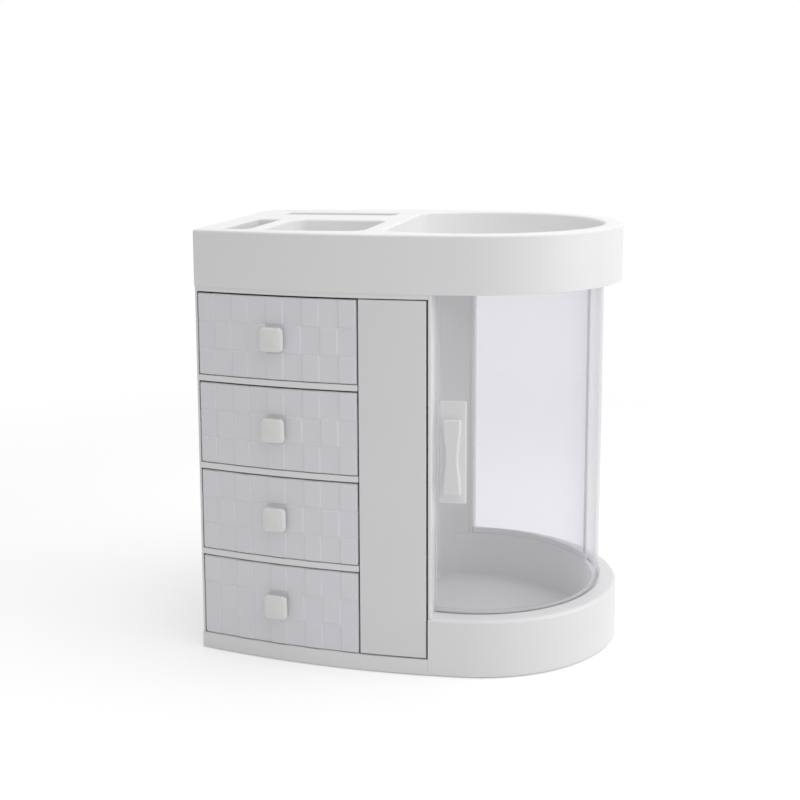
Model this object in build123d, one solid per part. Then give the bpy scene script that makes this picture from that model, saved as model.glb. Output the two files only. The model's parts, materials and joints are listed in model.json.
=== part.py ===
from build123d import *
import math
import os

# A free-standing vanity cabinet: four drawers and a tall pull-out rack on the left, and a round
# display compartment on the right whose clear door turns about the round end's upright axis.
# Millimetres, +Z up, the front faces -Y.  Every piece is drawn from the centre of the round end,
# and the finished set is moved so that the origin is under the middle of the whole cabinet.

# ---- overall outline in plan ----
OVERALL_WIDTH = 325.0
OVERALL_HEIGHT = 340.0
ROUND_R = 119.5             # round end of the base and the top tray
BOW_R = 640.0               # gentle bow of the front and of the back
BOW_CENTRE_X = -45.0        # where the bow is deepest, from the round end's centre
FRONT_CORNER_R = 2.4
BACK_CORNER_R = 13.0
LEAST_CORNER_R = 0.4
BODY_INSET = 0.6            # cabinet faces stand back from the tray and the base by this

# ---- heights from the floor ----
FOOT_PROUD = 1.0
PLINTH_TOP = 13.0
RING_TOP = 46.0
TRAY_HEIGHT = 44.5
TOP_PLATE_T = 3.5

# ---- base mouldings ----
SKIRT_T = 2.5
PLINTH_DECK_T = 2.5
RING_EDGE_R = 3.0
SEAM_GAP = 0.1
LEDGE_W = 14.3              # from the ring's outer face to the door
POCKET_LIP = 0.9            # the pocket's rim stands this far inside the back screen
POCKET_WALL_T = 2.2
POCKET_FLOOR_T = 2.2
POCKET_FLOOR_TOP = 7.0
FLAT_WALL_X = -42.0         # the compartment is cut off flat here, beside the rack
LEDGE_T = 5.5
LEDGE_RIB_W = 5.7

# ---- cabinet walls ----
SIDE_T = 2.0
BACK_T = 2.0
SIDE_SEAM_SETBACK = 21.0    # from the back left corner to the joint of side and back panel
DIVIDER_T = 2.0
DIVIDER_RECESS = 5.0        # how far the divider's front edge lies behind the fronts
PILLAR_RIGHT_X = -14.0
PILLAR_T = 2.5

# ---- drawers ----
DRAWER_COUNT = 4
RAIL_T = 4.6
RAIL_DEPTH = 9.0
SHELF_T = 2.0
SHELF_SETBACK = 15.0        # the shelves end this far before the back left corner
DRAWER_GAP_TOP = 1.4
DRAWER_GAP_BOTTOM = 0.4
DRAWER_GAP_SIDE = 0.5
DRAWER_FRONT_T = 3.0
DRAWER_WALL_T = 1.8
DRAWER_FLOOR_T = 1.8
DRAWER_WALL_DROP = 10.5     # the box's walls are this much lower than the front
DRAWER_BACK_GAP = 2.0       # the box ends this far before the shelf's back edge
DRAWER_LIFT = 0.3           # running gap under the drawer box
DRAWER_TRAVEL = 140.0
BOX_SIDE_GAP = 0.8
CATCH_W = 24.0
CATCH_BITE = 1.0            # how far the catch reaches down behind the box's back wall
CATCH_GAP = 1.8             # from the catch's top to the shelf above
STOP_W = 20.0
STOP_T = 3.0
STOP_DROP = 4.0
STOP_GAP = 0.3

# ---- checker relief on the drawer fronts ----
RELIEF_COLUMNS = 9
RELIEF_ROWS = 3
RELIEF_DEPTH = 0.9
RELIEF_CELL_GAP = 0.5
RELIEF_CORNER_R = 1.6

# ---- drawer knobs and their screws ----
KNOB_W = 19.0
KNOB_CORNER_R = 3.6
KNOB_CAP_T = 5.0
KNOB_CROWN_R = 42.0
KNOB_EDGE_R = 1.2
KNOB_STEM_R = 5.5
KNOB_STEM_L = 4.9
SCREW_R = 1.5
SCREW_HOLE_CLEARANCE = 0.1
SCREW_HEAD_R = 3.0
SCREW_HEAD_T = 1.8
KNOB_SCREW_BITE = 6.0

# ---- pull-out rack ----
RACK_FRONT_W = 51.8
FRONT_GAP = 1.4             # upright gap on each side of the rack's front
RACK_FRONT_GAP_Z = 0.9
RACK_FRONT_T = 3.0
RACK_SPINE_T = 1.6
RACK_SIDE_GAP = 0.8
RACK_SHELF_T = 1.6
RACK_FENCE_H = 9.0
RACK_FENCE_T = 1.4
RACK_SHELF_COUNT = 4
RACK_FIRST_SHELF = 23.0     # from the plinth's top to the lowest shelf
RACK_SHELF_PITCH = 57.5
RACK_SETBACK = 5.0          # the rack's back lies this far before the back left corner
RACK_WALL_GAP = 0.9
RACK_END_GAP = 0.6          # the shelves stop this far short of the front's right edge
RACK_LIFT = 0.4
GUIDE_T = 1.2
GUIDE_H = 3.0
GUIDE_GAP = 0.4
GUIDE_END_GAP = 1.0
GUIDE_FRONT_SETBACK = 13.0  # from the front left corner
GUIDE_BACK_SETBACK = 7.0    # from the back left corner

# ---- round compartment: fixed back screen and turning door ----
SCREEN_DOOR_GAP = 1.1
SCREEN_T = 1.6
SCREEN_START_DEG = 24.0
SCREEN_RAIL_H = 4.5
SCREEN_RAIL_T = 0.6
SCREEN_SEAT = 1.5           # thickness of the rail under the screen's lower edge
SCREEN_FIT = 0.1
DOOR_T = 2.0
DOOR_SPAN_DEG = 127.5
DOOR_SIDE_GAP = 0.8
DOOR_RUN_GAP = 0.3
TRACK_DEPTH = 3.0
DOOR_RAIL_T = 1.2
DOOR_RAIL_H = 4.2
DOOR_TOP_GAP = 1.0

# ---- door handle ----
HANDLE_RISE = 3.25          # the plate's middle lies this far over the door's middle
HANDLE_PLATE_W = 21.0
HANDLE_PLATE_H = 80.0
HANDLE_PLATE_T = 2.2
HANDLE_PLATE_EDGE_R = 1.0
GRIP_H = 58.5
GRIP_END_W = 13.6
GRIP_WAIST_W = 9.4
GRIP_PROUD = 4.8
GRIP_EDGE_R = 1.3
GRIP_DROP = 3.4             # the grip's middle lies this far under the plate's middle
HANDLE_SCREW_PITCH = 40.0
HANDLE_SCREW_HEAD_T = 0.8
HANDLE_SCREW_BITE = 4.5

# ---- top tray ----
TRAY_SKIRT_T = 2.5
TRAY_DECK_T = 2.5
TRAY_EDGE_R = 1.9
WELL_DEPTH = 37.0
WELL_WALL_T = 2.2
SMALL_WELL_LEFT = 18.5      # from the left face
SMALL_WELL_W = 22.5
SMALL_WELL_SETBACK = 10.0   # from the front left corner
SMALL_WELL_BACK_Y = 6.0
SMALL_WELL_CORNER_R = 4.0
MIDDLE_WELL_LEFT = 52.0     # from the left face
MIDDLE_WELL_SETBACK = 5.0   # from the front left corner
MIDDLE_WELL_BACK_Y = 5.0
MIDDLE_WELL_CORNER_R = 13.0
MIDDLE_WELL_BAR_W = 15.0    # between the middle well and the round well
LONG_SLOT_LEFT = 24.5       # from the left face
LONG_SLOT_D = 30.0
LONG_SLOT_SETBACK = 17.0    # from the back left corner
LONG_SLOT_BAR_W = 20.0      # between the long slot and the round well
LONG_SLOT_CORNER_R = 5.0
TRAY_RIM_W = 15.0           # from the tray's outer face to the round well
ROUND_WELL_LEFT_X = -58.0
ROUND_WELL_CORNER_R = 9.0
TRACK_RIB_T = 2.0
TRACK_RIB_FOOT = 0.2
TRAY_SCREW_PLACES = ((12.5, 46.1), (109.5, 35.4))   # from the left face and from the bow
TRAY_BOSS_R = 4.0
TRAY_SCREW_BITE = 4.2
PILOT_SPARE = 0.5

# ---- feet ----
FOOT_R = 6.0
FOOT_RECESS = 2.0
FOOT_BOSS_R = 7.6
PLINTH_FOOT_PLACES = ((17.5, 27.3), (143.5, 18.2))  # from the left face and from the bow
RING_FOOT_SETBACK = 10.2    # from the ring's outer face
RING_FOOT_DEG = (-38.0, 38.0)

# ---- places worked out from the sizes above ----
left_x = ROUND_R - OVERALL_WIDTH
bow_centre_y = math.sqrt((BOW_R - ROUND_R) ** 2 - BOW_CENTRE_X ** 2)
tray_bottom = OVERALL_HEIGHT - TRAY_HEIGHT
bay_ceiling = tray_bottom - TOP_PLATE_T
bay_height = (bay_ceiling - PLINTH_TOP - (DRAWER_COUNT - 1) * RAIL_T) / DRAWER_COUNT
pillar_left_x = PILLAR_RIGHT_X - PILLAR_T
rack_right_x = pillar_left_x - FRONT_GAP
rack_left_x = rack_right_x - RACK_FRONT_W
divider_left_x = rack_left_x - FRONT_GAP / 2
divider_right_x = divider_left_x + DIVIDER_T
side_inner_x = left_x + BODY_INSET + SIDE_T
front_left_x = side_inner_x + DRAWER_GAP_SIDE
front_right_x = divider_left_x - DRAWER_GAP_SIDE
drawer_centre_x = (front_left_x + front_right_x) / 2
face_inset = BODY_INSET + RELIEF_DEPTH
front_back_inset = face_inset + DRAWER_FRONT_T
flat_wall_back_x = FLAT_WALL_X - POCKET_WALL_T
door_r_out = ROUND_R - LEDGE_W
door_r_in = door_r_out - DOOR_T
screen_r_out = door_r_in - SCREEN_DOOR_GAP
screen_r_in = screen_r_out - SCREEN_T
screen_rail_r_out = screen_r_out + SCREEN_RAIL_T
pocket_r = screen_r_in - POCKET_LIP
pocket_wall_r = pocket_r + POCKET_WALL_T
track_r_in = door_r_in - DOOR_RUN_GAP
track_r_out = door_r_out + DOOR_RUN_GAP
door_start_deg = -90.0 - math.degrees(math.asin((-PILLAR_RIGHT_X - DOOR_SIDE_GAP) / door_r_out))
door_end_deg = door_start_deg + DOOR_SPAN_DEG
screen_seat_z = RING_TOP + SCREEN_SEAT
handle_z = (RING_TOP + tray_bottom) / 2 + HANDLE_RISE
well_floor_z = OVERALL_HEIGHT - WELL_DEPTH
well_under_z = well_floor_z - WELL_WALL_T
drawer_front_h = bay_height - DRAWER_GAP_TOP - DRAWER_GAP_BOTTOM
FAR = 2 * OVERALL_WIDTH     # past everything
SPARE = 1.0                 # millimetres or degrees that a cut runs past the face it cuts
LEVEL_TOLERANCE = 0.01


def bow_depth(x, inset):
    """Half depth of the plan at x, for an outline moved in by inset."""
    return math.sqrt((BOW_R - inset) ** 2 - (x - BOW_CENTRE_X) ** 2) - bow_centre_y


# half depth at the left face, and the places measured from its corners
half_left = bow_depth(left_x, 0)
side_seam_y = half_left - SIDE_SEAM_SETBACK
shelf_back_y = half_left - SHELF_SETBACK
drawer_back_y = shelf_back_y - DRAWER_BACK_GAP
rack_back_y = half_left - RACK_SETBACK


def closed_face(edges):
    return Face(Wire(edges))


def both_sides(places):
    """Places given from the left face and the bow, at the front and at the back."""
    points = []
    for from_left, from_bow in places:
        x = left_x + from_left
        y = bow_depth(x, 0) - from_bow
        points += [(x, -y), (x, y)]
    return points


def plan_face(inset):
    """The cabinet's plan: round right end, bowed front and back, flat left side."""
    radius = ROUND_R - inset
    touch_x = -BOW_CENTRE_X / (BOW_R - ROUND_R) * radius
    touch_y = bow_centre_y / (BOW_R - ROUND_R) * radius
    left = left_x + inset
    corner_y = bow_depth(left, inset)
    middle_x = (left + touch_x) / 2
    middle_y = bow_depth(middle_x, inset)
    edges = [
        ThreePointArc((touch_x, -touch_y), (radius, 0), (touch_x, touch_y)),
        ThreePointArc((touch_x, touch_y), (middle_x, middle_y), (left, corner_y)),
        Line((left, corner_y), (left, -corner_y)),
        ThreePointArc((left, -corner_y), (middle_x, -middle_y), (touch_x, -touch_y)),
    ]
    face = closed_face(edges)
    corners = face.vertices().sort_by(Axis.X)[:2].sort_by(Axis.Y)
    face = face.fillet_2d(max(FRONT_CORNER_R - inset, LEAST_CORNER_R), [corners[0]])
    corner = face.vertices().group_by(Axis.X)[0].sort_by(Axis.Y)[-1]
    return face.fillet_2d(max(BACK_CORNER_R - inset, LEAST_CORNER_R), [corner])


def raise_face(face, z_low, z_high):
    return Pos(0, 0, z_low) * extrude(face, amount=z_high - z_low, dir=(0, 0, 1))


def slab(inset, z_low, z_high):
    return raise_face(plan_face(inset), z_low, z_high)


def block(x_low, x_high, y_low, y_high, z_low, z_high):
    size = (x_high - x_low, y_high - y_low, z_high - z_low)
    return Pos(x_low, y_low, z_low) * Box(*size, align=(Align.MIN, Align.MIN, Align.MIN))


def drum(radius, z_low, z_high, x=0.0, y=0.0):
    align = (Align.CENTER, Align.CENTER, Align.MIN)
    return Pos(x, y, z_low) * Cylinder(radius, z_high - z_low, align=align)


def bow_front(inset, z_low, z_high):
    """Everything behind the bowed front, moved in by inset, with no left side or round end."""
    return drum(BOW_R - inset, z_low, z_high, BOW_CENTRE_X, bow_centre_y)


def on_circle(radius, degrees):
    return (radius * math.cos(math.radians(degrees)), radius * math.sin(math.radians(degrees)))


def arc_wall(r_in, r_out, start, end, z_low, z_high):
    """An upright curved wall about the round end's centre, between two angles in degrees."""
    middle = (start + end) / 2
    edges = [
        ThreePointArc(on_circle(r_out, start), on_circle(r_out, middle), on_circle(r_out, end)),
        Line(on_circle(r_out, end), on_circle(r_in, end)),
        ThreePointArc(on_circle(r_in, end), on_circle(r_in, middle), on_circle(r_in, start)),
        Line(on_circle(r_in, start), on_circle(r_out, start)),
    ]
    return raise_face(closed_face(edges), z_low, z_high)


def left_of(x):
    return block(-FAR, x, -FAR, FAR, -SPARE, OVERALL_HEIGHT + SPARE)


def right_of(x):
    return block(x, FAR, -FAR, FAR, -SPARE, OVERALL_HEIGHT + SPARE)


def cut_drum(radius, flat_x, z_low, z_high):
    """A drum cut off flat on its left, the shape of the round compartment."""
    return drum(radius, z_low, z_high) & right_of(flat_x)


def edges_at_height(solid, z):
    return solid.edges().filter_by_position(Axis.Z, z - LEVEL_TOLERANCE, z + LEVEL_TOLERANCE)


def foot_boss(x, y, z_high):
    boss = drum(FOOT_BOSS_R, FOOT_PROUD, z_high, x, y)
    return boss - drum(FOOT_R + SCREW_HOLE_CLEARANCE, FOOT_PROUD, FOOT_PROUD + FOOT_RECESS, x, y)


# ---- base ----
def drawer_plinth():
    """Low moulding under the drawers and the rack, open underneath."""
    deck_z = PLINTH_TOP - PLINTH_DECK_T
    room = cut_drum(
        pocket_wall_r + SEAM_GAP, flat_wall_back_x - SEAM_GAP, 0, PLINTH_TOP + SPARE
    )
    rim = cut_drum(
        pocket_wall_r + SKIRT_T, flat_wall_back_x - SKIRT_T, FOOT_PROUD, PLINTH_TOP
    )
    plinth = slab(0, FOOT_PROUD, PLINTH_TOP) - slab(SKIRT_T, FOOT_PROUD, deck_z)
    rim = rim & slab(SKIRT_T, FOOT_PROUD, PLINTH_TOP)
    end_wall = block(
        pillar_left_x - SEAM_GAP - SKIRT_T, pillar_left_x, -FAR, FAR, FOOT_PROUD, PLINTH_TOP
    )
    plinth = plinth + rim + (end_wall & slab(SKIRT_T / 2, FOOT_PROUD, PLINTH_TOP))
    for x, y in both_sides(PLINTH_FOOT_PLACES):
        plinth = plinth + foot_boss(x, y, PLINTH_TOP - PLINTH_DECK_T / 2)
    return (plinth & left_of(pillar_left_x - SEAM_GAP)) - room


def ring_feet():
    return [on_circle(ROUND_R - RING_FOOT_SETBACK, degrees) for degrees in RING_FOOT_DEG]


def round_base():
    """Ring under the round end, with the track that the door's lower edge runs in."""
    ledge_under = RING_TOP - LEDGE_T
    skirt = slab(0, FOOT_PROUD, RING_TOP) & right_of(pillar_left_x)
    skirt = fillet(edges_at_height(skirt, RING_TOP).filter_by(GeomType.CIRCLE), RING_EDGE_R)
    inside = slab(SKIRT_T, FOOT_PROUD, RING_TOP - SKIRT_T) & right_of(pillar_left_x + SKIRT_T)
    ring = skirt - inside
    rib = drum(pocket_wall_r + LEDGE_RIB_W, ledge_under, RING_TOP - SKIRT_T / 2)
    ring = ring + (rib & right_of(pillar_left_x))
    for x, y in ring_feet():
        ring = ring + foot_boss(x, y, RING_TOP - SKIRT_T / 2)
    ring = ring - cut_drum(pocket_wall_r, flat_wall_back_x, 0, RING_TOP + SPARE)
    track = drum(track_r_out, RING_TOP - TRACK_DEPTH, RING_TOP + SPARE)
    track = track - drum(track_r_in, RING_TOP - TRACK_DEPTH, RING_TOP + SPARE)
    return ring - (track & right_of(PILLAR_RIGHT_X))


def pocket_wall():
    """Round wall of the sunken pocket, flush with the ledge and with the compartment wall."""
    under = POCKET_FLOOR_TOP - POCKET_FLOOR_T
    wall = cut_drum(pocket_wall_r, flat_wall_back_x, under, RING_TOP)
    return wall - cut_drum(pocket_r, FLAT_WALL_X, under, RING_TOP)


def pocket_floor():
    return cut_drum(pocket_r, FLAT_WALL_X, POCKET_FLOOR_TOP - POCKET_FLOOR_T, POCKET_FLOOR_TOP)


def rubber_feet():
    places = both_sides(PLINTH_FOOT_PLACES) + ring_feet()
    return [drum(FOOT_R, 0, FOOT_PROUD + FOOT_RECESS, x, y) for x, y in places]


# ---- cabinet walls ----
def outer_shell():
    shell = slab(BODY_INSET, PLINTH_TOP, bay_ceiling)
    return shell - slab(BODY_INSET + SIDE_T, PLINTH_TOP, bay_ceiling)


def left_side_panel():
    room = block(-FAR, side_inner_x, -FAR, side_seam_y, 0, OVERALL_HEIGHT)
    return outer_shell() & room


def back_panel():
    shell = slab(BODY_INSET, PLINTH_TOP, bay_ceiling)
    shell = shell - slab(BODY_INSET + BACK_T, PLINTH_TOP, bay_ceiling)
    return shell & block(-FAR, pillar_left_x - SEAM_GAP, side_seam_y, FAR, 0, OVERALL_HEIGHT)


def drawer_divider():
    front_y = -bow_depth(divider_left_x, BODY_INSET) + DIVIDER_RECESS
    wall = block(divider_left_x, divider_right_x, front_y, FAR, PLINTH_TOP, bay_ceiling)
    return wall & slab(BODY_INSET + BACK_T, PLINTH_TOP, bay_ceiling)


def compartment_wall():
    """Opaque wall round the left of the compartment, standing on the pocket's rim."""
    wall = cut_drum(pocket_wall_r, flat_wall_back_x, RING_TOP, tray_bottom)
    wall = wall - cut_drum(pocket_r, FLAT_WALL_X, RING_TOP, tray_bottom)
    return wall & left_of(pillar_left_x)


def pillar(side):
    """Upright edge of the compartment: side -1 is at the front, +1 at the back."""
    y_far = side * ROUND_R * 2
    strip = block(pillar_left_x, PILLAR_RIGHT_X, min(0, y_far), max(0, y_far), RING_TOP, tray_bottom)
    return (strip & slab(BODY_INSET, RING_TOP, tray_bottom)) - drum(pocket_r, 0, OVERALL_HEIGHT)


def cabinet_top():
    plate = slab(BODY_INSET, bay_ceiling, tray_bottom) & left_of(pillar_left_x)
    plate = plate - cut_drum(pocket_wall_r, flat_wall_back_x, bay_ceiling, tray_bottom)
    plate = plate + drawer_stop(bay_ceiling)
    for x, y in both_sides(TRAY_SCREW_PLACES):
        plate = plate - drum(SCREW_R + SCREW_HOLE_CLEARANCE, 0, OVERALL_HEIGHT, x, y)
    return plate


def drawer_stop(ceiling_z):
    """Rib under a shelf that the catch on the drawer's back meets at full travel."""
    y_high = drawer_back_y - DRAWER_WALL_T - DRAWER_TRAVEL - STOP_GAP
    x_low = drawer_centre_x - STOP_W / 2
    x_high = drawer_centre_x + STOP_W / 2
    return block(x_low, x_high, y_high - STOP_T, y_high, ceiling_z - STOP_DROP, ceiling_z)


def bay_floor(number):
    """Height of the floor of drawer bay number, counted from 1 at the top."""
    return bay_ceiling - number * bay_height - (number - 1) * RAIL_T


def drawer_shelf(number):
    """Shelf under bay number, with its front rail and the stop for the drawer below."""
    top = bay_floor(number)
    reach = slab(BODY_INSET, top - RAIL_T, top)
    room = block(side_inner_x, divider_left_x, -FAR, shelf_back_y, top - RAIL_T, top)
    plate = reach & room
    hollow = bow_front(BODY_INSET + RAIL_DEPTH, top - RAIL_T, top - SHELF_T)
    stop = drawer_stop(top - RAIL_T)
    post = Pos(0, 0, RAIL_T - SHELF_T) * stop
    return (plate - hollow) + stop + post


# ---- drawers, drawn in the top bay ----
def relief_cells(x_low, x_high, z_low, z_high):
    """Raised cells of a checkerboard, as prisms along Y."""
    cell_w = (x_high - x_low) / RELIEF_COLUMNS
    cell_h = (z_high - z_low) / RELIEF_ROWS
    outline = RectangleRounded(
        cell_w - RELIEF_CELL_GAP, cell_h - RELIEF_CELL_GAP, RELIEF_CORNER_R
    )
    cells = []
    for row in range(RELIEF_ROWS):
        for column in range(row % 2, RELIEF_COLUMNS, 2):
            x = x_low + (column + 0.5) * cell_w
            z = z_low + (row + 0.5) * cell_h
            place = Plane(origin=(x, 0, z), x_dir=(1, 0, 0), z_dir=(0, -1, 0))
            cells.append(extrude(place * outline, amount=ROUND_R * 2))
    return cells


def knob_place(inset):
    """Seat of the knob on the bowed face: +Z points out of the drawer."""
    tilt = math.asin((drawer_centre_x - BOW_CENTRE_X) / (BOW_R - inset))
    out = (math.sin(tilt), -math.cos(tilt), 0)
    z = bay_floor(1) + DRAWER_GAP_BOTTOM + drawer_front_h / 2
    origin = (drawer_centre_x, -bow_depth(drawer_centre_x, inset), z)
    return Plane(origin=origin, x_dir=(math.cos(tilt), math.sin(tilt), 0), z_dir=out)


def along_knob(radius, z_low, z_high):
    align = (Align.CENTER, Align.CENTER, Align.MIN)
    return knob_place(face_inset) * Pos(0, 0, z_low) * Cylinder(radius, z_high - z_low, align=align)


def screw_hole():
    """Hole for the knob's screw through the front and the box's front wall."""
    depth = DRAWER_FRONT_T + DRAWER_WALL_T + SPARE
    return along_knob(SCREW_R + SCREW_HOLE_CLEARANCE, -depth, SPARE)


def drawer_front():
    z_low = bay_floor(1) + DRAWER_GAP_BOTTOM
    z_high = z_low + drawer_front_h
    room = block(front_left_x, front_right_x, -FAR, 0, z_low, z_high)
    face = bow_front(face_inset, z_low, z_high)
    plate = (face - bow_front(front_back_inset, z_low, z_high)) & room
    skin = (bow_front(BODY_INSET, z_low, z_high) - face) & room
    for cell in relief_cells(front_left_x, front_right_x, z_low, z_high):
        plate = plate + (skin & cell)
    return plate - screw_hole()


def drawer_box():
    """Open box behind the front, with the stop catch on its back wall."""
    z_low = bay_floor(1) + DRAWER_LIFT
    z_wall = z_low + drawer_front_h - DRAWER_WALL_DROP
    x_low = side_inner_x + BOX_SIDE_GAP
    x_high = divider_left_x - BOX_SIDE_GAP
    outside = bow_front(front_back_inset, z_low, z_wall)
    outside = outside & block(x_low, x_high, -FAR, drawer_back_y, 0, OVERALL_HEIGHT)
    inset = front_back_inset + DRAWER_WALL_T
    z_floor = z_low + DRAWER_FLOOR_T
    inside = bow_front(inset, z_floor, z_wall + SPARE)
    inside = inside & block(
        x_low + DRAWER_WALL_T,
        x_high - DRAWER_WALL_T,
        -FAR,
        drawer_back_y - DRAWER_WALL_T,
        0,
        OVERALL_HEIGHT,
    )
    catch = block(
        drawer_centre_x - CATCH_W / 2,
        drawer_centre_x + CATCH_W / 2,
        drawer_back_y - DRAWER_WALL_T,
        drawer_back_y,
        z_wall - CATCH_BITE,
        bay_ceiling - CATCH_GAP,
    )
    box = (outside - inside) + catch
    return box - screw_hole()


def knob_pilot():
    return along_knob(SCREW_R + SCREW_HOLE_CLEARANCE, 0, KNOB_SCREW_BITE + PILOT_SPARE)


def drawer_knob():
    """Square knob with a crowned face, on top of its stem."""
    cap = extrude(RectangleRounded(KNOB_W, KNOB_W, KNOB_CORNER_R), amount=KNOB_CAP_T)
    crown = Pos(0, 0, KNOB_CAP_T - KNOB_CROWN_R) * Sphere(KNOB_CROWN_R)
    cap = cap & crown
    cap = fillet(cap.faces().sort_by(Axis.Z)[-1].edges(), KNOB_EDGE_R)
    return (knob_place(face_inset) * Pos(0, 0, KNOB_STEM_L) * cap) - knob_pilot()


def knob_stem():
    return along_knob(KNOB_STEM_R, 0, KNOB_STEM_L) - knob_pilot()


def knob_screw():
    """Pan-head screw from inside the drawer box, through the front, into the knob."""
    under_head = -(DRAWER_FRONT_T + DRAWER_WALL_T + SCREW_HOLE_CLEARANCE)
    shank = along_knob(SCREW_R, under_head, KNOB_SCREW_BITE)
    return shank + along_knob(SCREW_HEAD_R, under_head - SCREW_HEAD_T, under_head)


# ---- pull-out rack ----
def rack_front():
    z_low = PLINTH_TOP + RACK_FRONT_GAP_Z
    z_high = bay_ceiling - RACK_FRONT_GAP_Z
    plate = bow_front(BODY_INSET, z_low, z_high)
    plate = plate - bow_front(BODY_INSET + RACK_FRONT_T, z_low, z_high)
    return plate & block(rack_left_x, rack_right_x, -FAR, 0, z_low, z_high)


def rack_spine():
    x_low = divider_right_x + RACK_SIDE_GAP
    z_low = PLINTH_TOP + RACK_LIFT
    z_high = bay_ceiling - RACK_LIFT
    plate = block(x_low, x_low + RACK_SPINE_T, -FAR, rack_back_y + RACK_SPINE_T, z_low, z_high)
    return plate & bow_front(BODY_INSET + RACK_FRONT_T, z_low, z_high)


def rack_plan(z_low, z_high, grow):
    """Room inside the rack, kept clear of the compartment wall by grow."""
    x_low = divider_right_x + RACK_SIDE_GAP + RACK_SPINE_T
    gap = RACK_WALL_GAP + grow
    strip = block(x_low, flat_wall_back_x - gap, -FAR, rack_back_y, z_low, z_high)
    mouth = block(x_low, rack_right_x - RACK_END_GAP, -FAR, 0, z_low, z_high)
    mouth = mouth - cut_drum(pocket_wall_r + gap, flat_wall_back_x - gap, 0, OVERALL_HEIGHT)
    return (strip + mouth) & bow_front(BODY_INSET + RACK_FRONT_T, z_low, z_high)


def rack_shelf(z):
    """Shelf with a low fence along the compartment wall."""
    fence = rack_plan(z, z + RACK_FENCE_H, 0) - rack_plan(z, z + RACK_FENCE_H, RACK_FENCE_T)
    return rack_plan(z, z + RACK_SHELF_T, 0) + fence


def rack_back():
    x_low = divider_right_x + RACK_SIDE_GAP + RACK_SPINE_T
    x_high = flat_wall_back_x - RACK_WALL_GAP
    z_low = PLINTH_TOP + GUIDE_H + GUIDE_END_GAP
    z_high = bay_ceiling - GUIDE_H - GUIDE_END_GAP
    return block(x_low, x_high, rack_back_y, rack_back_y + RACK_SPINE_T, z_low, z_high)


def rack_guides():
    """Ribs on the plinth and under the top plate that keep the rack's spine upright."""
    x_low = divider_right_x + RACK_SIDE_GAP + RACK_SPINE_T + GUIDE_GAP
    x_high = x_low + GUIDE_T
    y_low = GUIDE_FRONT_SETBACK - half_left
    y_high = half_left - GUIDE_BACK_SETBACK
    low = block(x_low, x_high, y_low, y_high, PLINTH_TOP, PLINTH_TOP + GUIDE_H)
    high = block(x_low, x_high, y_low, y_high, bay_ceiling - GUIDE_H, bay_ceiling)
    return [low, high]


# ---- round compartment ----
def screen_end_deg():
    return 90.0 + math.degrees(math.asin(-PILLAR_RIGHT_X / screen_rail_r_out))


def back_screen_rail():
    r_in = screen_r_in - SCREEN_RAIL_T
    end = screen_end_deg()
    z_high = RING_TOP + SCREEN_RAIL_H
    rail = arc_wall(r_in, screen_rail_r_out, SCREEN_START_DEG, end, RING_TOP, z_high)
    slot_in = screen_r_in - SCREEN_FIT
    slot_out = screen_r_out + SCREEN_FIT
    start = SCREEN_START_DEG - SPARE
    return rail - arc_wall(slot_in, slot_out, start, end + SPARE, screen_seat_z, z_high + SPARE)


def back_screen():
    top = well_under_z - DOOR_TOP_GAP
    start = SCREEN_START_DEG
    return arc_wall(screen_r_in, screen_r_out, start, screen_end_deg(), screen_seat_z, top)


def door_panel():
    bottom = RING_TOP - TRACK_DEPTH + DOOR_RUN_GAP
    top = well_under_z - DOOR_TOP_GAP
    panel = arc_wall(door_r_in, door_r_out, door_start_deg, door_end_deg, bottom, top)
    for z in handle_screw_heights():
        panel = panel - handle_bore(SCREW_R + SCREW_HOLE_CLEARANCE, z)
        countersink = handle_bore(SCREW_HEAD_R + SCREW_HOLE_CLEARANCE, z)
        panel = panel - (countersink & drum(door_r_in + HANDLE_SCREW_HEAD_T, 0, OVERALL_HEIGHT))
    return panel


def door_bottom_rail():
    """Foot bead along the door's outer face, just over the ledge."""
    z_low = RING_TOP + DOOR_RUN_GAP
    r_out = door_r_out + DOOR_RAIL_T
    return arc_wall(door_r_out, r_out, door_start_deg, door_end_deg, z_low, z_low + DOOR_RAIL_H)


def handle_screw_heights():
    middle = handle_z - GRIP_DROP
    return (middle - HANDLE_SCREW_PITCH / 2, middle + HANDLE_SCREW_PITCH / 2)


def handle_bore(radius, z):
    """A rod along -Y through the handle at height z."""
    place = Plane(origin=(0, 0, z), x_dir=(1, 0, 0), z_dir=(0, -1, 0))
    return place * Cylinder(radius, ROUND_R, align=(Align.CENTER, Align.CENTER, Align.MIN))


def handle_plate():
    half_deg = math.degrees(HANDLE_PLATE_W / 2 / door_r_out)
    z_low = handle_z - HANDLE_PLATE_H / 2
    z_high = handle_z + HANDLE_PLATE_H / 2
    r_out = door_r_out + HANDLE_PLATE_T
    plate = arc_wall(door_r_out, r_out, -90 - half_deg, -90 + half_deg, z_low, z_high)
    outer = plate.faces().sort_by(Axis.Y)[0]
    plate = fillet(outer.edges(), HANDLE_PLATE_EDGE_R)
    for z in handle_screw_heights():
        plate = plate - handle_bore(SCREW_R + SCREW_HOLE_CLEARANCE, z)
    return plate


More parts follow.
